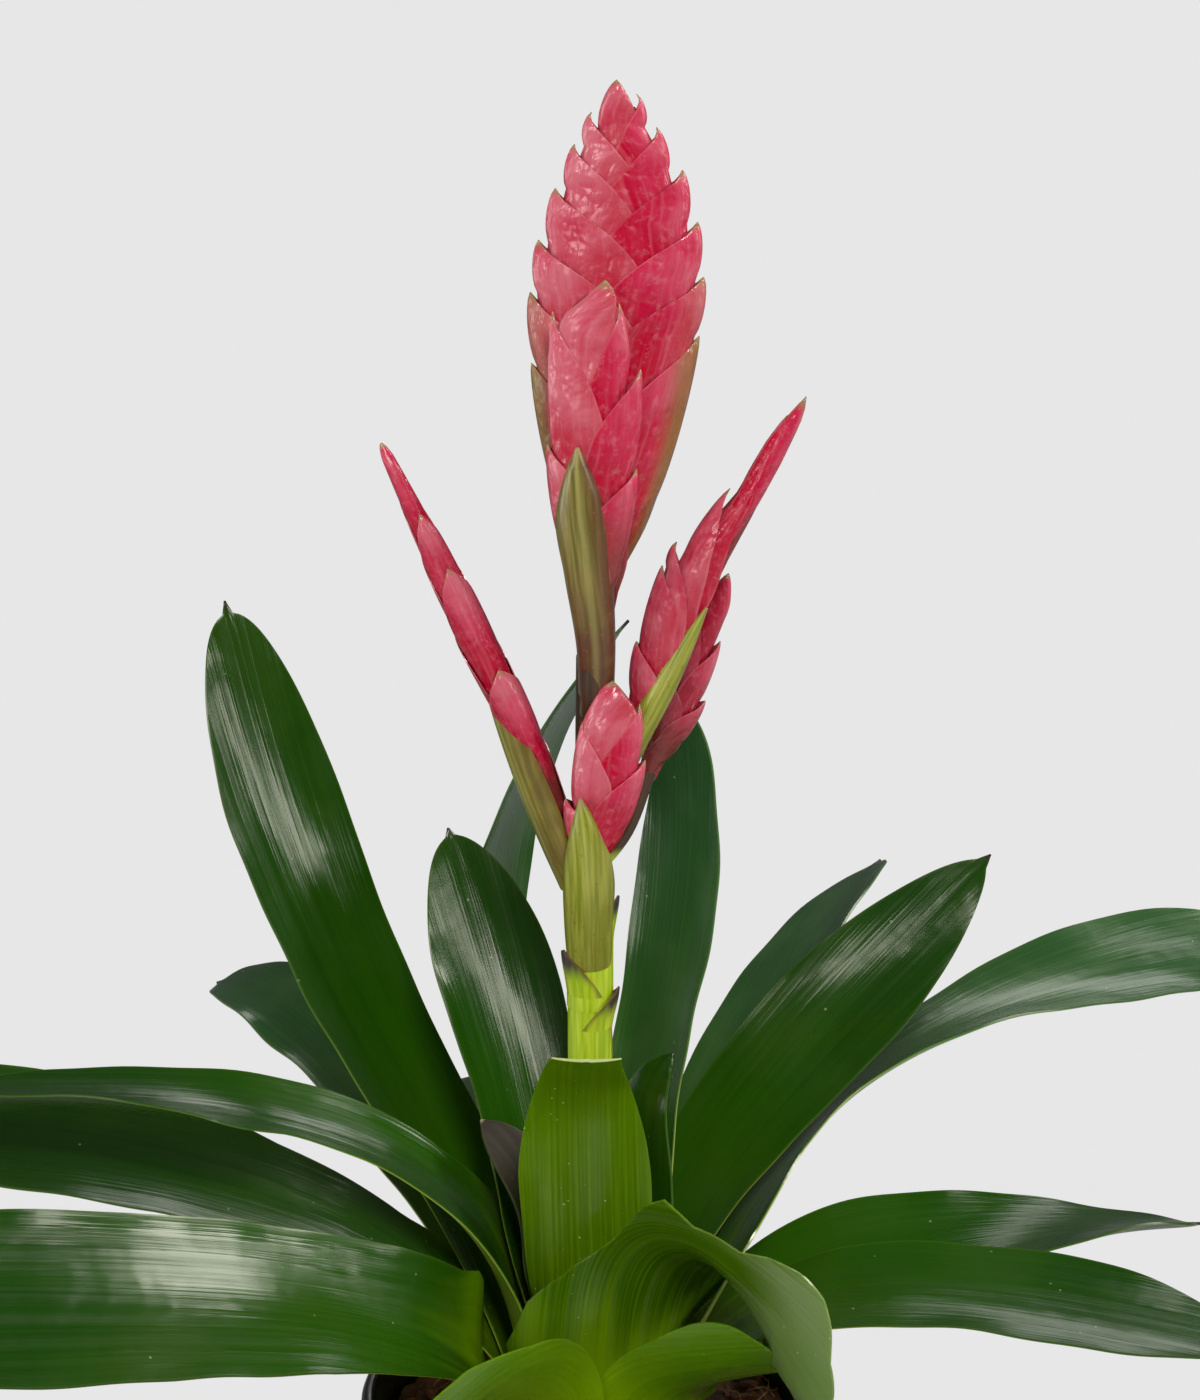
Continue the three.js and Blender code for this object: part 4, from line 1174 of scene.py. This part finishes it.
def chip(x, y, size):
    """A broken flat chip of bark: a jagged slab, tilted and half sunk."""
    sides = 9
    long = size * CHANCE.uniform(0.8, 1.5)
    wide = size * CHANCE.uniform(0.4, 0.8)
    thick = size * CHANCE.uniform(0.12, 0.26)
    angles = np.linspace(0, 2 * math.pi, sides, endpoint=False) + CHANCE.uniform(-0.2, 0.2, sides)
    reach = CHANCE.uniform(0.75, 1.1, sides)
    flat = np.stack([long / 2 * reach * np.cos(angles), wide / 2 * reach * np.sin(angles)], 1)
    layers = []
    for height, shrink in ((-thick, 0.8), (-0.3 * thick, 1.0), (0.5 * thick, 0.97), (thick, 0.7)):
        layer = np.zeros((sides, 3))
        layer[:, :2] = flat * shrink
        layer[:, 2] = height + CHANCE.uniform(-0.15, 0.15, sides) * thick
        layers.append(layer)
    points = np.concatenate(layers)
    spin = CHANCE.uniform(0, 2 * math.pi)
    tilt = CHANCE.uniform(-0.45, 0.45, 2)
    points[:, 2] += points[:, 0] * tilt[0] + points[:, 1] * tilt[1]
    turn = np.array([[math.cos(spin), -math.sin(spin)], [math.sin(spin), math.cos(spin)]])
    points[:, :2] = points[:, :2] @ turn.T
    points += (x, y, float(soil_height(x, y)) + thick * 0.6)
    return points, ring_faces(len(layers), sides)


# Studio: a pale floor, soft lights and the camera

CAMERA_TARGET = (2.5, 0, 294.6)
CAMERA_DISTANCE = 900
CAMERA_ELEVATION = math.radians(17)
CAMERA_LENS = 93.7
BACKDROP = srgb(231, 231, 231)
ROOM_LIGHT = 0.1
FLOOR_REACH = 14
FLOOR_DROP = 0.0005
LIGHT_TARGET = (0, 0, 0.22)

# Each lamp: place in metres, width, height and watts.
LAMPS = {
    "key_left": ((-1.35, -0.52, 0.45), 0.34, 0.8, 6),
    "side_right": ((1.18, -0.38, 0.62), 0.34, 0.4, 3.2),
    "high_right": ((1.04, 0.22, 0.97), 0.45, 0.35, 6.2),
    "low_back": ((0.25, 1.25, 0.88), 0.8, 0.35, 2),
    "high_back": ((0.6, 0.58, 1.22), 0.25, 0.25, 0.7),
    "low_left": ((-1.3, 0.16, 0.16), 0.4, 0.3, 2),
    "front_left": ((-0.58, -1.44, 0.61), 0.35, 0.35, 3),
    "high_front": ((0.19, -1.1, 1.22), 0.35, 0.35, 13),
}


def make_floor():
    """A grey floor that the camera sees as the backdrop's pale grey."""
    mesh = bpy.data.meshes.new("studio_floor")
    signs = ((-1, -1), (1, -1), (1, 1), (-1, 1))
    corners = [(x * FLOOR_REACH, y * FLOOR_REACH, -FLOOR_DROP) for x, y in signs]
    mesh.from_pydata(corners, [], [(0, 1, 2, 3)])
    floor = add_object("studio_floor", mesh)
    shade = Shade("studio_floor", Roughness=0.9, Base_Color=(0.42, 0.42, 0.42, 1))
    glow = shade.node("ShaderNodeEmission")
    glow.inputs["Color"].default_value = BACKDROP
    sight = shade.node("ShaderNodeLightPath")
    blend = shade.node("ShaderNodeMixShader")
    shade.put(blend.inputs[0], sight.outputs["Is Camera Ray"])
    shade.put(blend.inputs[1], shade.shader.outputs[0])
    shade.put(blend.inputs[2], glow.outputs[0])
    shade.put(shade.tree.nodes["Material Output"].inputs["Surface"], blend.outputs[0])
    mesh.materials.append(shade.material)


def make_world():
    """A dim room, which the camera sees as the same pale grey as the floor."""
    world = bpy.data.worlds.new("studio")
    bpy.context.scene.world = world
    world.use_nodes = True
    tree = world.node_tree
    room = tree.nodes["Background"]
    room.inputs["Color"].default_value = (1, 1, 1, 1)
    room.inputs["Strength"].default_value = ROOM_LIGHT
    pale = tree.nodes.new("ShaderNodeBackground")
    pale.inputs["Color"].default_value = BACKDROP
    sight = tree.nodes.new("ShaderNodeLightPath")
    blend = tree.nodes.new("ShaderNodeMixShader")
    tree.links.new(sight.outputs["Is Camera Ray"], blend.inputs[0])
    tree.links.new(room.outputs[0], blend.inputs[1])
    tree.links.new(pale.outputs[0], blend.inputs[2])
    tree.links.new(blend.outputs[0], tree.nodes["World Output"].inputs["Surface"])


def make_lights():
    """Soft lights, all turned to the middle of the plant."""
    for name, (place, width, height, power) in LAMPS.items():
        light = bpy.data.lights.new(name, "AREA")
        light.shape = "RECTANGLE"
        light.size = width
        light.size_y = height
        light.energy = power
        lamp = add_object(name, light)
        lamp.location = place
        lamp.rotation_euler = (Vector(LIGHT_TARGET) - Vector(place)).to_track_quat("-Z", "Y").to_euler()


def make_camera():
    camera = bpy.data.cameras.new("photo_camera")
    camera.lens = CAMERA_LENS
    camera.sensor_width = 36
    camera.clip_start = 0.01
    camera.clip_end = 100
    holder = add_object("photo_camera", camera)
    x, y, z = CAMERA_TARGET
    back = CAMERA_DISTANCE * math.cos(CAMERA_ELEVATION)
    up = CAMERA_DISTANCE * math.sin(CAMERA_ELEVATION)
    holder.location = (x * MM, (y - back) * MM, (z + up) * MM)
    holder.rotation_euler = (math.pi / 2 - CAMERA_ELEVATION, 0, 0)
    bpy.context.scene.camera = holder


# Colours of the leaf kinds and the bracts

GREEN = dict(
    foot=(104, 140, 0), blade=(34, 80, 0), deep=(18, 60, 0), back=(56, 90, 26),
    vein=(58, 100, 8),
)
# The front leaves' lighter greens are partly their own yellow-green and partly painted light, for the light
# that comes through and under them.
LIGHT_GREEN = dict(
    foot=(142, 180, 0), blade=(96, 138, 0), deep=(76, 120, 0), back=(92, 130, 20),
    vein=(150, 184, 20), painted_light_under_foot=(146, 184, 0), under_share=0.3,
    streaks=0.25, thin=0.5, specks=0.7, early=(0.1, 0.42),
)
# The curl's deep colour, a pale grey-green laid on from about 0.62 to 0.78 along it, is a painted sheen on
# its hanging end.
CURL = {
    **LIGHT_GREEN,
    "foot": (128, 166, 0), "blade": (56, 96, 0), "deep": (112, 134, 84), "under_share": 0.0,
    "early": (0.08, 0.36), "late": (0.62, 0.78),
}
CUT = dict(
    foot=(70, 102, 0), blade=(64, 98, 0), deep=(92, 132, 0), back=(80, 116, 0),
    vein=(128, 158, 24), end=(176, 192, 116), under_share=0.0, streaks=0.45,
    thin=0.4, specks=0.8, early=(0.1, 0.42),
)
DARK = dict(
    foot=(60, 90, 0), blade=(34, 52, 8), deep=(40, 30, 22), back=(44, 36, 26),
    vein=(62, 50, 36), end=(150, 140, 112), dull=0.45,
)
# The bluish leaves' pale olive under the foot is painted light on their shaded bases.
BLUISH = dict(
    foot=(98, 134, 8), blade=(50, 92, 24), deep=(42, 82, 40), back=(76, 112, 64),
    vein=(98, 132, 80), painted_light_under_foot=(190, 200, 104),
)
PINK = dict(
    deep=(184, 2, 46), pink=(202, 38, 78), pale=(212, 124, 132), olive=(130, 108, 52),
    edge=(220, 130, 132),
)
# The rear spike's darker, duller copy of the bract colours is painted shade for the spike that stands behind
# the others.
REAR_SHADED_PINK = {**PINK, "deep": (166, 20, 48), "pink": (196, 54, 82)}

bpy.context.scene.view_settings.view_transform = "Standard"
leaf_materials = {
    "green": leaf_material("leaf_green", **GREEN),
    "light": leaf_material("leaf_light", **LIGHT_GREEN),
    "bluish": leaf_material("leaf_bluish", bloom=0.2, **BLUISH),
    "cut": leaf_material("leaf_cut", **CUT),
    "curl": leaf_material("leaf_curl", **CURL),
    "dark": leaf_material("leaf_dark", **DARK),
}
make_leaves(leaf_materials)
pink = bract_material("bract_pink", **PINK)
rear_shaded_pink = bract_material("bract_rear_pink", **REAR_SHADED_PINK)
make_spikes({name: rear_shaded_pink if name == "spike_right_rear" else pink for name in SPIKES})
make_green_bracts(green_bract_material())
make_sheaths(sheath_material())
make_stem(stem_material())
make_pot(pot_material())
make_soil(soil_material("potting_mix", (58, 30, 16), (122, 68, 38), 160))
bark = soil_material("bark", (74, 36, 18), (148, 84, 48), 220)
pale_bark = soil_material("pale_bark", (150, 130, 96), (190, 172, 134), 220)
make_bark(bark, pale_bark, straw_material())
make_floor()
make_world()
make_lights()
make_camera()

bpy.context.view_layer.update()
